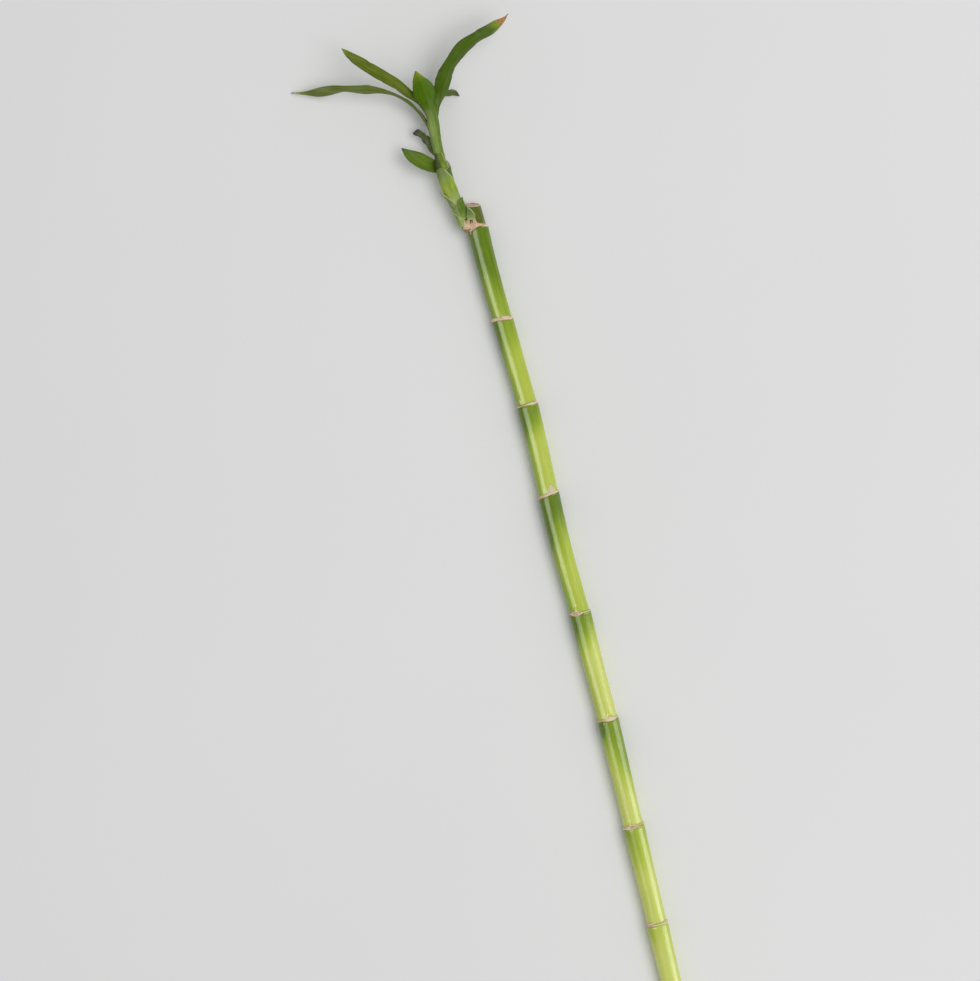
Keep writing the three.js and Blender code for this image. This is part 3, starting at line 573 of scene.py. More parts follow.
def plate_traits(d, blade, s, half_width):
    """What every plate's finish reads: places along and across, share of the blade, and margin."""
    return {"along": d, "blade": blade, "rib": s * half_width, "margin": (1 - np.abs(s)) * half_width}


def clasping_path(spec):
    """A midrib's points: beside the shoot's axis, at the sheath's inside radii, then the blade's own;
    and the direction away from the shoot at the first."""
    seats = np.linspace(0, 1, 9)
    point, _, left, up = shoot_frame(mix(*spec["sheath"], seats))
    turn = np.radians(spec["angle"])
    out = left * np.cos(turn) + up * np.sin(turn)
    return np.vstack([point + out * sheath_radius(spec, seats)[:, None], spec["blade"]]), out[0]


def sheath_radius(spec, share):
    return np.interp(share, np.linspace(0, 1, len(spec["radii"])), spec["radii"])


def blade_lift(spec, seed, waviness, s, b):
    """How far a blade's face rises at share b of it: waves h s^2 sin(360 deg count b + phase + s), fine
    ripples that grow to the edges, and creases depth exp(-((b - at) / reach)^2) on one side."""
    count, height, phase = spec["waves"]
    height = height * waviness
    lift = height * s**2 * smooth(0, 0.25, b) * np.sin(2 * np.pi * count * b + phase + s)
    lift = lift + 0.1 * height * s**2 * smooth(0, 0.2, b) * ripple(seed + 1, 45 * b, 3 * s)
    for at, edge, reach, crease in spec["creases"]:
        lift = lift + crease * np.exp(-(((b - at) / reach) ** 2)) * smooth(0.1, 1, s * edge)
    return lift


def leaf_form(spec, seed, waviness, d, length, s, wrap, radius, opened, b):
    """A leaf's plate: the sheath is wrap times radius wide, and opens into the blade, which has
    blade_width() for its half width, a rolled foot that flattens to the channel, and thin edges."""
    sheath = spec["sheath"][1] - spec["sheath"][0]
    petiole, petiole_angle = spec["petiole"]
    blade_angle = mix(np.radians(petiole_angle), np.radians(spec["channel"]), smooth(0, 0.4, b))
    shape = {key: spec[key] for key in ("peak", "taper") if key in spec}
    width = blade_width(b, petiole, spec["half_width"], **shape)
    half_width = mix(wrap * radius, width * (1 + 0.02 * ripple(seed, 40 * b)), opened)
    twisted = sheath + spec.get("twist_by", TWIST_BY) * (length - sheath)
    twist = spec["twist"] * smooth(sheath, twisted, d) + spec.get("turn", 0) * smooth(0.2, 0.9, b)
    kept = 1
    for at, edge, reach, missing in spec.get("nicks", []):
        kept = kept - missing * np.exp(-(((b - at) / reach) ** 2)) * smooth(0.2, 1, s * edge)
    rib = np.exp(-((s * half_width / 0.5) ** 2)) * opened * smooth(1, 0.8, b)
    thin = mix(1.0, 0.62, opened) * (1 - 0.5 * s**2 * opened) + 0.3 * rib
    thick = PLATE * np.minimum(thin * smooth(1.02, 0.93, b) + 0.12, 1)
    return dict(half_width=half_width, half_angle=mix(wrap, blade_angle, opened), twist=twist,
                lift=blade_lift(spec, seed, waviness, s, b) - 0.16 * rib, thick=thick, kept=kept)


def scale_form(spec, seed, share, s, wrap, radius):
    """A scale's plate: its half angle falls by 1 - 0.93 share^taper to a ragged tip."""
    half_angle = wrap * (1 - 0.93 * share ** spec.get("taper", SCALE_TAPER))
    ragged = 1 + 0.03 * ripple(seed, 60 * share) * smooth(0.2, 0.5, share)
    return dict(half_width=half_angle * radius * ragged, half_angle=half_angle * ragged, twist=0,
                lift=0.1 * ripple(seed + 2, 8 * share, 3 * s) * s**2,
                thick=0.8 * PLATE * (1 - 0.6 * s**2) * smooth(1.05, 0.8, share))


def leaf_skin(name, settings):
    """A leaf or scale from the foot of its sheath to its tip: rolled round the shoot, and then, where a
    leaf opens by a smooth step over its neck, about its own midrib."""
    spec, seed = LEAVES[name], sum(map(ord, name))
    is_leaf = "neck" in spec
    path, out = clasping_path(spec)
    share = np.linspace(0, 1, LEAF_ROWS if is_leaf else SCALE_ROWS)
    point, along, length = smooth_line(path, share)
    s, depth = plate_ring(PLATE_SIDES)
    share = share[:, None]
    d = share * length
    sheath = spec["sheath"][1] - spec["sheath"][0]
    wrap_foot, wrap_collar = np.radians(spec["wrap"])
    wrap = mix(wrap_foot, wrap_collar, smooth(spec.get("opens", COLLAR_FROM) * sheath, sheath, d))
    radius = sheath_radius(spec, d / sheath)
    rolled = spec.get("roll", 0) * smooth(0.95, 0.6, d / sheath)
    if is_leaf:
        collar = sheath + spec["neck"]
        opened = smooth(sheath, collar, d)
        blade = np.clip((d - collar) / (length - collar), 0, 1)
        form = leaf_form(spec, seed, settings.waviness, d, length, s, wrap, radius, opened, blade)
        traits = plate_traits(d, blade, s, form["half_width"])
        traits.update(beyond=d - sheath, opened=opened, from_tip=length - d, edge=s, upper=depth < 0.5)
        finish, slot = leaf_finish(name), "leaf"
    else:
        form = scale_form(spec, seed, share, s, wrap, radius)
        traits = plate_traits(d, share, s, form["half_width"])
        finish, slot = scale_finish(name, settings), "scale"
    points = plate_points(point, along, -out, rolled=rolled, **form)
    points[..., 2] = np.maximum(points[..., 2], LEAF_CLEARANCE)
    skin(name + "_blade", points, traits, finish, slot, name)


def bract_skin(settings):
    """The bract in the fork: a kite-shaped plate, half width as a blade's, lying on the stub's side."""
    share = np.linspace(0, 1, BRACT_ROWS)
    point, along, length = smooth_line(BRACT_MIDRIB, share)
    s, _ = plate_ring(BRACT_SIDES)
    share = share[:, None]
    width = blade_width(share, BRACT_FOOT, BRACT_HALF_WIDTH, BRACT_PEAK, BRACT_TAPER)
    width = width * (1 + 0.03 * ripple(5, 30 * share))
    lift = 0.08 * ripple(6, 9 * share, 2 * s) * s**2
    thick = PLATE * (1 - 0.5 * s**2) * smooth(1.05, 0.75, share)
    facing = np.array([0.0, 0.0, 1.0])
    points = plate_points(
        point, along, facing, width, np.radians(BRACT_CHANNEL), BRACT_LEAN, lift, thick)
    traits = plate_traits(share * length, share, s, width)
    finish = scale_finish("fork_bract", settings)
    skin("fork_bract_blade", points, traits, finish, "scale", "fork_bract")


def foot_reach(x, turn):
    """How far the shoot's foot reaches from the cane's axis at place x in the direction turn: the far
    root t of |t e - c| = r, with c the shoot's centre there; 0 where the direction misses it."""
    track = smooth_line(SHOOT_AXIS, np.linspace(0, 1, 200))[0]
    centre_y = np.interp(x, track[:, 0], track[:, 1]) - RINGS[-1]["y"]
    centre_z = np.interp(x, track[:, 0], track[:, 2]) - AXIS_HEIGHT
    ahead = centre_y * np.cos(turn) + centre_z * np.sin(turn)
    aside = centre_z * np.cos(turn) - centre_y * np.sin(turn)
    r = FOOT_COVER * smooth(SHOOT_AXIS[0][0] - 0.8, SHOOT_AXIS[0][0] + 3.2, x)
    return np.where(np.abs(aside) < r, ahead + np.sqrt(np.maximum(r**2 - aside**2, 0)), 0)


def husk_skin(settings):
    """The dry sheath: a torn band that follows shoulder, ring, stub and the shoot's foot close by,
    between its lower and upper edges, with papery wrinkles, and thinner towards the torn edges."""
    s, depth = plate_ring(PLATE_SIDES)
    share = np.linspace(0, 1, HUSK_ROWS)[:, None]
    degrees = mix(HUSK_ANGLES[0], HUSK_ANGLES[-1], share)
    turn = np.radians(degrees)
    torn = 0.3 * ripple(2, 40 * turn, 27 * turn) + 0.22 * ripple(4, 110 * turn)
    low = np.interp(degrees, HUSK_ANGLES, HUSK_LOWER) + torn
    high = np.interp(degrees, HUSK_ANGLES, HUSK_UPPER) + 0.4 * ripple(12, 55 * turn, 33 * turn)
    offset = mix(low, high, (s + 1) / 2)
    ring = RINGS[-1]
    x = ring["x"] + offset + ring["slant"] * np.cos(turn)
    cane, shoot = np.interp(offset, *HUSK_REST), foot_reach(x, turn)
    under = np.log(np.exp(3 * cane) + np.exp(3 * shoot)) / 3
    wrinkle = 0.09 * ripple(13, 40 * turn, 1.5 * offset) + 0.05 * ripple(14, 90 * turn, 4 * offset)
    ends = smooth(0, 0.06, share) * smooth(1, 0.94, share)
    thick = PLATE * (0.2 + 0.45 * (1 - np.abs(s) ** 3)) * (0.3 + 0.7 * ends)
    curl = 0.25 * np.abs(s) ** 4
    r = under + HUSK_GAP + wrinkle + curl + thick * (1 - depth)
    points = np.stack([x, ring["y"] + r * np.cos(turn), AXIS_HEIGHT + r * np.sin(turn)], -1)
    traits = {"offset": offset, "torn": 1 - np.abs(s), "draped": smooth(0.0, 1.2, shoot - cane)}
    skin("dry_husk_torn", points, traits, husk_finish(settings), "dry_husk", "dry_sheath")


# The finishes.


class Level:
    """A socket that carries a number or a colour; sums of levels add the nodes that work them out."""

    def __init__(self, finish, socket):
        self.finish, self.socket = finish, socket

    def maths(self, operation, *others, swapped=False):
        terms = (self, *others)
        inputs = dict(enumerate(terms[::-1] if swapped else terms))
        return self.finish.node("Math", inputs, operation=operation)

    def __add__(self, other): return self.maths("ADD", other)
    __radd__ = __add__
    def __sub__(self, other): return self.maths("SUBTRACT", other)
    def __rsub__(self, other): return self.maths("SUBTRACT", other, swapped=True)
    def __mul__(self, other): return self.maths("MULTIPLY", other)
    __rmul__ = __mul__
    def __abs__(self): return self.maths("ABSOLUTE")

    def most(self, other): return self.maths("MAXIMUM", other)

    def step(self, low, high):
        """0 below low, 1 above high and smooth between; high may be the smaller."""
        ends = {"Value": self, "From Min": low, "From Max": high}
        if high < low:
            ends.update({"From Min": high, "From Max": low, "To Min": 1.0, "To Max": 0.0})
        return self.finish.node("MapRange", ends, interpolation_type="SMOOTHSTEP")


class Finish:
    """A material. node() adds any node and sets its settings, then its sockets' values or links."""

    def __init__(self, name):
        self.material = bpy.data.materials.new(name)
        self.material.use_nodes = True
        self.tree = self.material.node_tree
        self.tree.nodes.clear()

    def node(self, kind, inputs=None, output=0, **settings):
        made = self.tree.nodes.new("ShaderNode" + kind)
        for key, value in settings.items():
            setattr(made, key, value)
        for key, value in (inputs or {}).items():
            if isinstance(value, Level):
                self.tree.links.new(value.socket, made.inputs[key])
            else:
                made.inputs[key].default_value = value
        return Level(self, made.outputs[output])

    def trait(self, name):
        return self.node("Attribute", output="Fac", attribute_name=name)

    def traits(self, *names):
        return map(self.trait, names)

    def place(self):
        return self.node("TexCoord", output="Object")

    def vector(self, x, y, z):
        return self.node("CombineXYZ", {0: x, 1: y, 2: z})

    def noise(self, vector, scale, detail=2.0, roughness=0.5):
        inputs = {"Vector": vector, "Scale": scale, "Detail": detail, "Roughness": roughness}
        return self.node("TexNoise", inputs)

    def grains(self, scale, detail=2.0, roughness=0.5):
        """Noise of the same scale along each axis of the object."""
        return self.noise(self.place(), scale, detail, roughness)

    def fibres(self, scales, detail=2.0, roughness=0.5):
        """Noise with a scale for each axis of the object."""
        stretched = self.node("Mapping", {"Vector": self.place(), "Scale": scales})
        return self.noise(stretched, 1.0, detail, roughness)

    def blend(self, a, b, share, how="MIX"):
        """From a to b by a share, or to a times b where how is MULTIPLY."""
        inputs = {0: share, 6: colour(a), 7: colour(b)}
        return self.node("Mix", inputs, output=2, data_type="RGBA", blend_type=how)

    def tinted(self, base, share, tint):
        return self.blend(base, tint, share, "MULTIPLY")

    def bump(self, height, distance):
        return self.node("Bump", {"Height": height, "Distance": distance})

    def done(self, base, rough, normal, **fixed):
        shader = self.tree.nodes.new("ShaderNodeBsdfPrincipled")
        for key, value in fixed.items():
            shader.inputs[key.replace("_", " ")].default_value = value
        for key, level in (("Base Color", base), ("Roughness", rough), ("Normal", normal)):
            if isinstance(level, Level):
                self.tree.links.new(level.socket, shader.inputs[key])
            else:
                shader.inputs[key].default_value = level
        end = self.tree.nodes.new("ShaderNodeOutputMaterial")
        self.tree.links.new(shader.outputs[0], end.inputs[0])
        return self.material


def colour(value):
    return value if isinstance(value, Level) else (*tuple(value)[:3], 1.0)


def shade(tone, strength):
    return tuple(strength * c for c in tone)


def cane_finish(settings):
    """Fleshy skin, yellow green to deep green under each ring, with streaks, tan bands and a scar."""
    f = Finish("cane_skin")
    streak = f.fibres((45, 900, 900), 3.0, 0.6)
    fine = f.fibres((120, 3200, 3200), 2.0, 0.6)
    cloud = f.fibres((90, 260, 260))
    # The deep trait also carries the painted shade on the cane's left side.
    deep = f.trait("deep") + (cloud - 0.5) * 0.22 + (streak - 0.5) * 0.16
    green = f.blend(settings.light_skin, settings.fresh_skin, deep.step(-0.05, 0.38))
    green = f.blend(green, settings.middle_skin, deep.step(0.28, 0.7))
    green = f.blend(green, settings.deep_skin, deep.step(0.6, 1.0))
    green = f.tinted(green, ((streak - 0.35) * 0.9).step(0.0, 0.3) * 0.35, (0.8, 0.88, 0.6))
    green = f.blend(green, (0.5, 0.58, 0.2), fine.step(0.62, 0.75) * 0.18)
    # small corky flecks and scratches
    flecks = f.fibres((420, 1500, 1500), 1.0, 0.5).step(0.74, 0.8)
    green = f.blend(green, (0.34, 0.27, 0.12), flecks * 0.55)
    # the stub is older: olive on the shoot's side, brown stained at its top
    stub = f.trait("stub")
    olive = f.blend((0.075, 0.095, 0.01), (0.12, 0.165, 0.015), cloud.step(0.35, 0.65))
    green = f.blend(green, olive, stub * 0.95)
    # bands: pinkish tan with orange and brown patches, dark creases along both edges
    band, seam = f.traits("band", "seam")
    grain = f.fibres((2600, 1300, 1300), 3.0, 0.7)
    patch = f.fibres((500, 420, 420), 2.0, 0.6)
    tan = f.blend(settings.ring_tan, (0.62, 0.36, 0.14), patch.step(0.55, 0.68) * 0.8)
    tan = f.blend(tan, (0.95, 0.86, 0.68), grain.step(0.5, 0.66) * 0.6)
    tan = f.blend(tan, (0.28, 0.14, 0.05), grain.step(0.4, 0.26) * 0.7)
    tan = f.blend(tan, (0.45, 0.28, 0.17), band.step(0.42, 0.6) * patch.step(0.44, 0.54) * 0.5)
    rust = (band + (patch - 0.5) * 1.2).step(0.75, 0.35) * seam.step(0.3, -0.1) * f.trait("rust")
    tan = f.blend(tan, (0.62, 0.3, 0.05), rust * 0.9)
    ragged = band + (grain - 0.5) * 0.16
    crease = ragged.step(-0.28, -0.05) * seam.step(0.9, -0.4)
    green = f.blend(green, (0.1, 0.075, 0.02), crease * 0.65)
    yellowed = band.step(-1.3, -0.1) * seam.step(0.0, 0.6)
    green = f.blend(green, (0.36, 0.36, 0.07), yellowed * 0.4)
    ringed = ragged.step(0.0, 0.09)
    base = f.blend(green, tan, ringed)
    # the open scar: a cream triangle with pale raised edges and a thin brown outline
    scar = f.trait("scar") + (grain - 0.5) * 0.12
    inside = scar.step(0.06, 0.16)
    cream = f.blend((0.92, 0.86, 0.58), (0.74, 0.68, 0.4), grain.step(0.4, 0.65))
    base = f.blend(base, (0.3, 0.2, 0.06), scar.step(-0.08, 0.04) * (1 - inside) * 0.85)
    base = f.blend(base, cream, inside)
    base = f.blend(base, (0.62, 0.6, 0.27), scar.step(0.5, 0.7) * 0.65)
    base = f.blend(base, (0.3, 0.2, 0.07), scar.step(0.42, 0.5) * scar.step(0.6, 0.52) * 0.55)
    # cut faces: corky rim, pale pith with dots of fibre bundles
    cut = f.trait("cut") + (grain - 0.5) * 0.3
    core = f.trait("core")
    pith = f.blend((0.5, 0.4, 0.22), (0.27, 0.19, 0.09), patch.step(0.4, 0.7))
    dots = f.node("TexVoronoi", {"Vector": f.place(), "Scale": 1500.0}, feature="F1")
    pith = f.blend(pith, (0.2, 0.12, 0.05), dots.step(0.35, 0.15) * core.step(0.98, 0.9) * 0.7)
    crust = f.blend((0.72, 0.54, 0.42), (0.22, 0.16, 0.12), patch.step(0.56, 0.72))
    face = f.blend(pith, crust, core.step(0.86, 0.93).most(stub * 0.85))
    bare = cut.step(0.35, 0.6)
    base = f.blend(base, face, bare)
    dry = ringed.most(bare).most(inside)
    mottle = f.fibres((500, 900, 900), 2.0, 0.6)
    rough = 0.78 * dry + (1 - dry) * (0.26 + (cloud - 0.5) * 0.14)
    relief = (streak - 0.5) * 0.5 + (fine - 0.5) * 0.25 + (mottle - 0.5) * 0.7
    relief = relief + dry * (grain - 0.5) * 1.4 + crease * -0.6
    return f.done(base, rough, f.bump(relief, 0.00009), Specular_IOR_Level=0.46)


def shoot_finish():
    """Green stem, tan where it comes out of the cane."""
    f = Finish("shoot_skin")
    station = f.trait("station")
    streak = f.fibres((90, 1500, 1500), 3.0, 0.6)
    grain = f.grains(1800.0, 3.0, 0.7)
    green = f.blend((0.13, 0.22, 0.02), (0.22, 0.32, 0.05), streak.step(0.35, 0.65))
    tan = f.blend((0.42, 0.3, 0.16), (0.24, 0.13, 0.05), grain.step(0.4, 0.65))
    foot = (station + (grain - 0.5) * 1.4).step(1.5, 0.4)
    base = f.blend(green, tan, foot * 0.8)
    rough = 0.36 + foot * 0.35
    return f.done(base, rough, f.bump(streak * 0.6 + grain * foot, 0.00006))


# Each scale's dark and light green, how wide its papery margin is in mm, and which edge has it.
SCALE_TONES = {
    "base_scale_left": ((0.17, 0.27, 0.02), (0.4, 0.52, 0.11), 0.45, -1),
    "scale_leaf_left": ((0.13, 0.2, 0.035), (0.34, 0.46, 0.12), 0.6, -1),
    "scale_leaf_right": ((0.085, 0.16, 0.01), (0.15, 0.25, 0.02), 0.2, 1),
    "fork_bract": ((0.09, 0.15, 0.03), (0.17, 0.25, 0.07), 0.55, 1),
}


def scale_finish(name, settings):
    """A scale: green with lengthwise veins, a papery cream margin along one edge and a dry tip."""
    dark, light, papery, side = SCALE_TONES[name]
    f = Finish(name + "_skin")
    rib, along, margin, blade = f.traits("rib", "along", "margin", "blade")
    vein = f.noise(f.vector(rib * 3.2, along * 0.22, 0.0), 1.0, 3.0, 0.6)
    grain = f.grains(2200.0, 3.0, 0.7)
    cloud = f.grains(420.0)
    green = f.blend(dark, light, (vein * 0.6 + cloud * 0.4).step(0.38, 0.62))
    ragged = margin + (grain - 0.5) * 0.3 + (cloud - 0.5) * 0.5
    bare = (rib * side).step(-0.2, 0.3)
    papered = ragged.step(papery, papery * 0.4) * blade.step(0.1, 0.35) * bare
    base = f.blend(green, settings.papery, papered * 0.85)
    base = f.blend(base, (0.26, 0.15, 0.06), ragged.step(0.07, 0.0) * blade.step(0.2, 0.4) * bare * 0.7)
    foot = (along + (grain - 0.5) * 0.8).step(0.75, 0.3)
    base = f.blend(base, (0.36, 0.48, 0.13), (along + (vein - 0.5) * 5.0).step(4.5, 0.5) * 0.6)
    base = f.blend(base, settings.papery, foot * 0.4)
    tip = (blade + (grain - 0.5) * 0.06).step(0.86, 0.97)
    base = f.blend(base, (0.12, 0.1, 0.04), tip * 0.6)
    rough = 0.45 + papered * 0.25 + foot * 0.2
    relief = vein * 0.7 + papered * grain * 0.5
    return f.done(base, rough, f.bump(relief, 0.00007), Specular_IOR_Level=0.2)


def sheath_colour(f, tones, beyond, vein, broad, cloud):
    """A sheath is lighter than its blade, most where it bulges, and some have a pale foot, a side
    darkened by painted shade or a flank as dark as the blade, with painted shadow in the fork. Beyond
    counts from its collar; vein, broad and cloud are the leaf's noises."""
    own = tones["sheath"]
    bulge = broad * 0.5 + cloud * 0.5
    sheath = f.blend(own, shade(own, 1.3), bulge.step(0.4, 0.62))
    sheath = f.tinted(sheath, vein.step(0.55, 0.7) * 0.35, (0.75, 0.85, 0.6))
    if "foot" in tones:
        # pale where the lowest sheath comes out of its scales, greyer under its collar
        sheath = f.blend(sheath, tones["foot"], (beyond + (vein - 0.5) * 8.0).step(-13.0, -21.0))
        under_collar = (beyond + (broad - 0.5) * 10.0).step(-8.5, -3.0)
        sheath = f.blend(sheath, (0.15, 0.2, 0.07), under_collar * 0.7)
        middle = beyond.step(-19.0, -14.0) * beyond.step(-7.0, -10.0)
        sheath = f.blend(sheath, (0.4, 0.5, 0.03), bulge.step(0.46, 0.6) * middle * 0.6)
    # painted shade: one side of the sheath is darkened, as on its shadow side
    if "side" in tones:
        dark_from, dark_to, amount = tones["side"]
        sheath = f.tinted(sheath, f.trait("edge").step(dark_from, dark_to) * amount, (0.4, 0.5, 0.3))
    sheath = f.blend(sheath, shade(own, 0.55), beyond.step(-5.0, 2.0) * 0.35)
    if "flank" in tones:
        # the side of the sheath that the blade grows from is as dark as the blade, with painted shadow
        # darkest in the fork
        (near, far), edge = tones["flank"], f.trait("edge")
        flank = edge.step(near - 0.03, near + 0.03) * edge.step(far + 0.05, far - 0.05)
        fork_shadowed_blade = f.tinted(tones["blade"], beyond.step(-3.0, -8.0) * 0.8, (0.5, 0.74, 0.22))
        sheath = f.blend(sheath, fork_shadowed_blade, flank * beyond.step(-12.0, -9.0))
    return sheath


def leaf_finish(name):
    """A leaf: light sheath, deeper blade with parallel veins, a midrib line, margins and a dry tip."""
    tones = LEAF_TONES[name]
    dry = tones["dry"]
    f = Finish(name + "_skin")
    rib, along, margin, blade = f.traits("rib", "along", "margin", "blade")
    opened, from_tip, beyond, upper = f.traits("opened", "from_tip", "beyond", "upper")
    vein = f.noise(f.vector(rib * 4.5, along * 0.09, 0.0), 1.0, 3.0, 0.6)
    broad = f.noise(f.vector(rib * 0.9, along * 0.12, 3.0), 1.0, 2.0, 0.5)
    grain = f.grains(2400.0, 3.0, 0.7)
    cloud = f.grains(160.0)
    tone = (broad * 0.6 + vein * 0.25 + cloud * 0.3).step(0.42, 0.72)
    green = f.blend(tones["blade"], tones["second"], tone)
    # painted shade: the blade darkens towards its margins
    green = f.tinted(green, margin.step(1.5, 0.1) * 0.45, (0.62, 0.66, 0.55))
    sheath = sheath_colour(f, tones, beyond, vein, broad, cloud)
    green = f.blend(sheath, green, (opened + (broad - 0.5) * 0.3 + blade * 2.5).step(0.25, 1.25))
    green = f.blend(green, tones["second"], abs(rib).step(0.3, 0.05) * blade.step(0.0, 0.1) * 0.5)
    beneath = f.blend((0.14, 0.21, 0.045), (0.2, 0.28, 0.08), tone)
    green = f.blend(green, beneath, upper * opened * 0.25)
    trim = (margin + (grain - 0.5) * 0.1).step(0.2, 0.08) * opened
    base = f.blend(green, tones["margin"], trim * 0.8)
    if "collar" in tones:
        # the sheath's thin edge, round to the blade's foot
        edging = (margin + (grain - 0.5) * 0.12).step(0.45, 0.25) * beyond.step(-13.0, -10.0)
        base = f.blend(base, tones["collar"], edging * opened.step(1.0, 0.6) * 0.85)
    # the tip yellows and then dries, further along the edges than at the midrib
    dried = from_tip + abs(rib) * -0.7 + (grain - 0.5) * 0.6 + (broad - 0.5) * 2.0
    if "yellow" in tones:
        yellowing = dried.step(dry + tones["yellow"], dry)
        base = f.blend(base, f.blend(tones["second"], (0.23, 0.3, 0.012), yellowing), yellowing * 0.85)
    spot = f.grains(1100.0, 2.0, 0.6)
    burnt = f.blend(tones["tip"], shade(tones["tip"], 0.45), spot.step(0.5, 0.62))
    base = f.blend(base, burnt, dried.step(dry, dry * 0.6))
    base = f.blend(base, (0.12, 0.07, 0.03), dried.step(dry * 0.3, 0.0) * 0.7)
    flecks = f.grains(900.0, 1.0, 0.5).step(0.76, 0.82) * opened
    base = f.blend(base, (0.25, 0.2, 0.06), flecks * 0.5)
    rough = 0.4 + upper * 0.06 + (cloud - 0.5) * 0.14 + dried.step(dry, 0.0) * 0.25
    relief = (vein - 0.5) * 0.8 + (grain - 0.5) * 0.12 - abs(rib).step(0.35, 0.0) * opened * 0.8
    return f.done(base, rough, f.bump(relief, 0.00008), Specular_IOR_Level=0.11)


def husk_finish(settings):
    """Dry papery sheath: tan to pink with fibres round the cane, dark torn edges and stains."""
    f = Finish("dry_husk_paper")
    torn, offset, draped = f.traits("torn", "offset", "draped")
    fibre = f.fibres((600, 3600, 3600), 3.0, 0.6)
    patch = f.fibres((450, 1500, 1500), 3.0, 0.6)
    reddish = (patch * 0.6 + fibre * 0.4).step(0.5, 0.62)
    base = f.blend(settings.husk_tan, (0.45, 0.21, 0.08), reddish * 0.8)
    base = f.blend(base, (0.9, 0.74, 0.52), fibre.step(0.52, 0.62) * 0.75)
    stain_brown = (0.3, 0.13, 0.04)
    base = f.blend(base, stain_brown, (torn + (fibre - 0.5) * 0.2).step(0.12, 0.0) * 0.7)
    stain = offset.step(-2.0, -3.4) * patch.step(0.42, 0.6) * 0.6
    stain = stain.most(draped * patch.step(0.52, 0.62) * 0.5)
    base = f.blend(base, stain_brown, stain)
    rough = 0.72 + (fibre - 0.5) * 0.2
    return f.done(base, rough, f.bump(fibre + patch * 0.7, 0.00025), Specular_IOR_Level=0.2)


def floor_finish(settings):
    """The even, faintly clouded ground."""
    f = Finish("pale_floor")
    cloud = f.grains(3.0, 3.0)
    base = f.blend(settings.floor, shade(settings.floor, 0.98), cloud.step(0.3, 0.7))
    return f.done(base, 0.9, f.bump(f.grains(900.0), 0.00002), Specular_IOR_Level=0.0)


# The stage.

CANE_TURN = np.radians(14.34)  # how far the cane is turned from upright in the picture
PICTURE_RIGHT = Vector((-np.sin(CANE_TURN), -np.cos(CANE_TURN), 0))
PICTURE_UP = Vector((np.cos(CANE_TURN), -np.sin(CANE_TURN), 0))
VIEW_CENTRE = Vector((0.0294, 0.0102, 0))
FLOOR_HALF, FLOOR_CELLS = 4.0, 8


def lay_floor(finish):
    """A level floor of square cells round the origin."""
    steps = np.linspace(-FLOOR_HALF, FLOOR_HALF, FLOOR_CELLS + 1)
    x, y = np.meshgrid(steps, steps, indexing="ij")
    points = np.stack([x, y, 0 * x], -1).reshape(-1, 3)
    row, cell = len(steps), np.arange(FLOOR_CELLS)
    a = (cell[:, None] * row + cell).reshape(-1)
    faces = np.stack([a, a + row, a + row + 1, a + 1], -1)
    mesh = bpy.data.meshes.new("floor")
    mesh.from_pydata(points.tolist(), [], faces.tolist())
    mesh.materials.append(finish)
    linked("floor", mesh)


def seen_from(towards, up, position):
    """The matrix of a thing at a position whose back points towards a direction, with its top up."""
    turn = Matrix((up.cross(towards), up, towards)).transposed().to_4x4()
    return Matrix.Translation(position) @ turn


def soft_box(name, power, tilt, distance, size, ahead=0.0, glossy=False):
    """A soft box that shines down from tilt degrees off the vertical, to the right if positive.

    Its size is across and along the cane, and it is that far ahead along the cane of the view's middle.
    It lights or it shows in gloss."""
    light = bpy.data.lights.new(name, "AREA")
    light.energy, light.shape, light.size, light.size_y = power, "RECTANGLE", *size
    lamp = linked(name, light)
    angle = np.radians(tilt)
    towards = PICTURE_RIGHT * np.sin(angle) + Vector((0, 0, np.cos(angle)))
    position = VIEW_CENTRE + towards * distance + PICTURE_UP * ahead
    lamp.matrix_world = seen_from(towards, PICTURE_UP, position)
    lamp.visible_glossy, lamp.visible_diffuse = glossy, not glossy


def grey_room(strength):
    """A world of even grey light that glossy surfaces don't mirror."""
    world = bpy.data.worlds.new("room")
    world.use_nodes = True
    sky = world.node_tree.nodes["Background"]
    sky.inputs["Color"].default_value = (1, 1, 1, 1)
    sky.inputs["Strength"].default_value = strength
    world.cycles_visibility.glossy = False
    return world


def camera_above(focal_length, height):
    """A camera over the view's middle that looks straight down, turned as the picture is."""
    lens = bpy.data.cameras.new("camera")
    lens.lens, lens.sensor_width, lens.sensor_fit = focal_length, 36, "HORIZONTAL"
    camera = linked("camera", lens)
    above = Vector((0, 0, 1))
    camera.matrix_world = seen_from(above, PICTURE_UP, VIEW_CENTRE + above * height)
    return camera


# What a user can change.


def tint(name, description, default):
    return bpy.props.FloatVectorProperty(
        name=name, description=description, subtype="COLOR", size=3, min=0, max=1, default=default)


def number(name, description, default, **limits):
    return bpy.props.FloatProperty(name=name, description=description, default=default, **limits)


class CaneSettings(bpy.types.PropertyGroup):
    light_skin: tint("Light skin", "Colour of the cane above a ring", (0.72, 0.77, 0.19))
    fresh_skin: tint("Fresh skin", "Colour a little further up", (0.52, 0.63, 0.07))
    middle_skin: tint("Middle skin", "Colour near the next ring", (0.32, 0.45, 0.03))
    deep_skin: tint("Deep skin", "Colour just under a ring", (0.13, 0.225, 0.006))
    ring_tan: tint("Ring", "Colour of the rings", (0.87, 0.7, 0.51))
    husk_tan: tint("Husk", "Colour of the dry leaf sheath", (0.82, 0.57, 0.38))


class LeafSettings(bpy.types.PropertyGroup):
    papery: tint("Papery margin", "Colour of the scales' dry margins", (0.66, 0.69, 0.36))
    waviness: number("Waviness", "How wavy the blades are", 1.0, min=0.0, max=1.0, subtype="FACTOR")


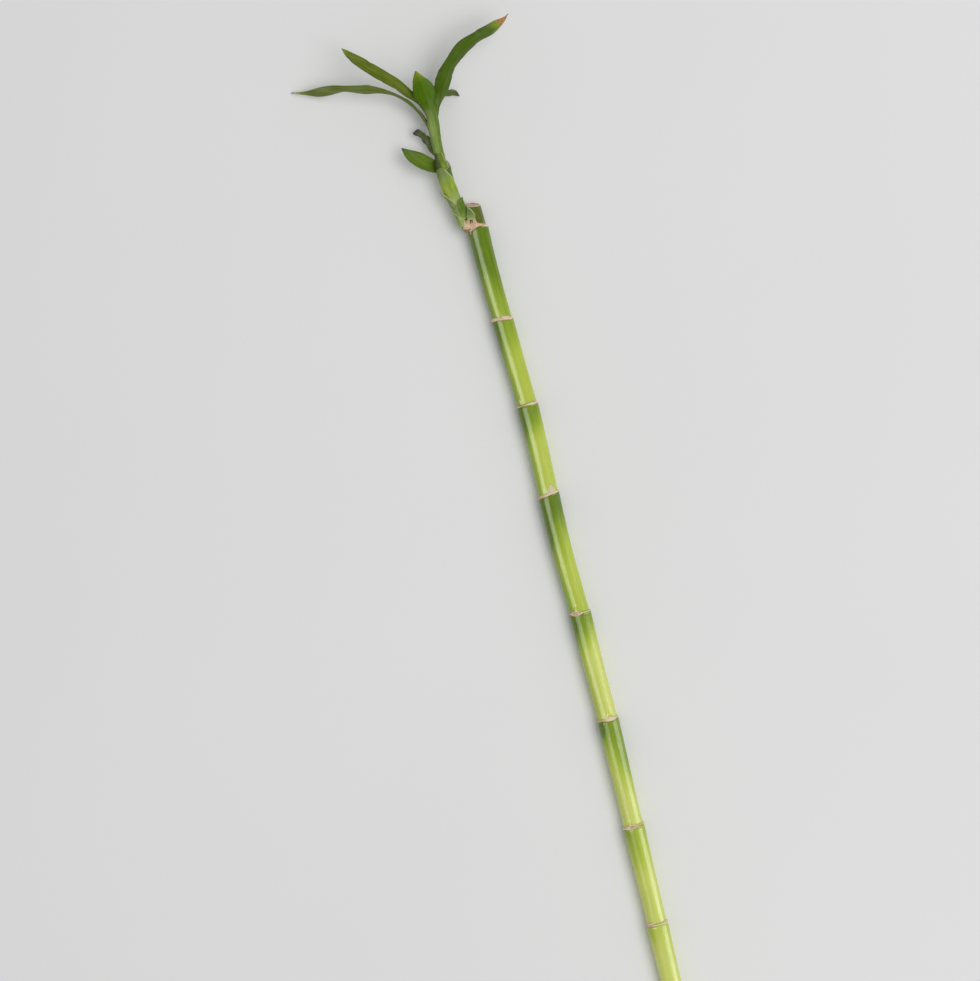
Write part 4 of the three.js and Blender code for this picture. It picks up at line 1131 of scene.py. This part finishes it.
class StageSettings(bpy.types.PropertyGroup):
    floor: tint("Floor", "Colour of the floor", (0.9, 0.9, 0.9))
    lens: number("Lens", "Focal length of the camera in mm", 85.0, min=20.0, max=200.0)
    height: number(
        "Camera height", "Height of the camera over the table", 1.162, min=0.5, max=3.0, unit="LENGTH")
    main_light: number("Main light", "Power of the soft box on the right", 31.5, min=0, unit="POWER")
    left_shine: number(
        "Left shine", "Power of the left soft box that shows in gloss only", 18.0, min=0, unit="POWER")
    right_shine: number(
        "Right shine", "Power of the right soft box that shows in gloss only", 13.0, min=0, unit="POWER")
    sky: number("Sky", "Brightness of the room's grey light", 0.43, min=0, max=3)


# Operators.


class BAMBOO_OT_cane(bpy.types.Operator):
    """Build the ringed cane with its stub"""

    bl_idname = "bamboo.cane"
    bl_label = "Cane"

    def execute(self, context):
        cane_skin(context.scene.bamboo_cane)
        return {"FINISHED"}


class BAMBOO_OT_shoot(bpy.types.Operator):
    """Build the shoot's stem"""

    bl_idname = "bamboo.shoot"
    bl_label = "Shoot stem"

    def execute(self, context):
        shoot_skin()
        return {"FINISHED"}


class BAMBOO_OT_scales(bpy.types.Operator):
    """Build the scales at the shoot's foot and the bract in the fork"""

    bl_idname = "bamboo.scales"
    bl_label = "Scales and bract"

    def execute(self, context):
        for name, spec in LEAVES.items():
            if "neck" not in spec:
                leaf_skin(name, context.scene.bamboo_leaf)
        bract_skin(context.scene.bamboo_leaf)
        return {"FINISHED"}


class BAMBOO_OT_leaves(bpy.types.Operator):
    """Build the leaves with their sheaths"""

    bl_idname = "bamboo.leaves"
    bl_label = "Leaves"

    def execute(self, context):
        for name, spec in LEAVES.items():
            if "neck" in spec:
                leaf_skin(name, context.scene.bamboo_leaf)
        return {"FINISHED"}


class BAMBOO_OT_husk(bpy.types.Operator):
    """Build the torn dry sheath at the top ring"""

    bl_idname = "bamboo.husk"
    bl_label = "Dry sheath"

    def execute(self, context):
        husk_skin(context.scene.bamboo_cane)
        return {"FINISHED"}


class BAMBOO_OT_stage(bpy.types.Operator):
    """Set the floor, the soft lights and the camera that looks straight down"""

    bl_idname = "bamboo.stage"
    bl_label = "Stage"

    def execute(self, context):
        stage = context.scene.bamboo_stage
        lay_floor(floor_finish(stage))
        soft_box("main_soft_box", stage.main_light, 25, 2.6, (1.6, 2.2))
        soft_box("left_shine_box", stage.left_shine, -41, 1.3, (1.1, 1.0), ahead=-0.06, glossy=True)
        soft_box("right_shine_box", stage.right_shine, 70, 1.3, (1.2, 0.62), ahead=-0.24, glossy=True)
        context.scene.world = grey_room(stage.sky)
        context.scene.view_settings.view_transform = "Standard"
        context.scene.camera = camera_above(stage.lens, stage.height)
        return {"FINISHED"}


STEPS = [
    BAMBOO_OT_cane, BAMBOO_OT_shoot, BAMBOO_OT_scales, BAMBOO_OT_leaves, BAMBOO_OT_husk,
    BAMBOO_OT_stage]
GROUPS = {"bamboo_cane": CaneSettings, "bamboo_leaf": LeafSettings, "bamboo_stage": StageSettings}


class BAMBOO_PT_panel(bpy.types.Panel):
    """Lists the settings and the steps in order"""

    bl_idname = "BAMBOO_PT_panel"
    bl_label = "Lucky bamboo"
    bl_space_type = "VIEW_3D"
    bl_region_type = "UI"
    bl_category = "Bamboo"

    def draw(self, context):
        for name, group in GROUPS.items():
            box = self.layout.box()
            for key in group.__annotations__:
                box.prop(getattr(context.scene, name), key)
        for step in STEPS:
            self.layout.operator(step.bl_idname)


def register():
    for kind in (*GROUPS.values(), *STEPS, BAMBOO_PT_panel):
        bpy.utils.register_class(kind)
    for name, group in GROUPS.items():
        setattr(bpy.types.Scene, name, bpy.props.PointerProperty(type=group))


def unregister():
    for name in GROUPS:
        delattr(bpy.types.Scene, name)
    for kind in reversed((*GROUPS.values(), *STEPS, BAMBOO_PT_panel)):
        bpy.utils.unregister_class(kind)


def main():
    register()
    for step in STEPS:
        group, call = step.bl_idname.split(".")
        getattr(getattr(bpy.ops, group), call)()


if __name__ == "__main__":
    main()
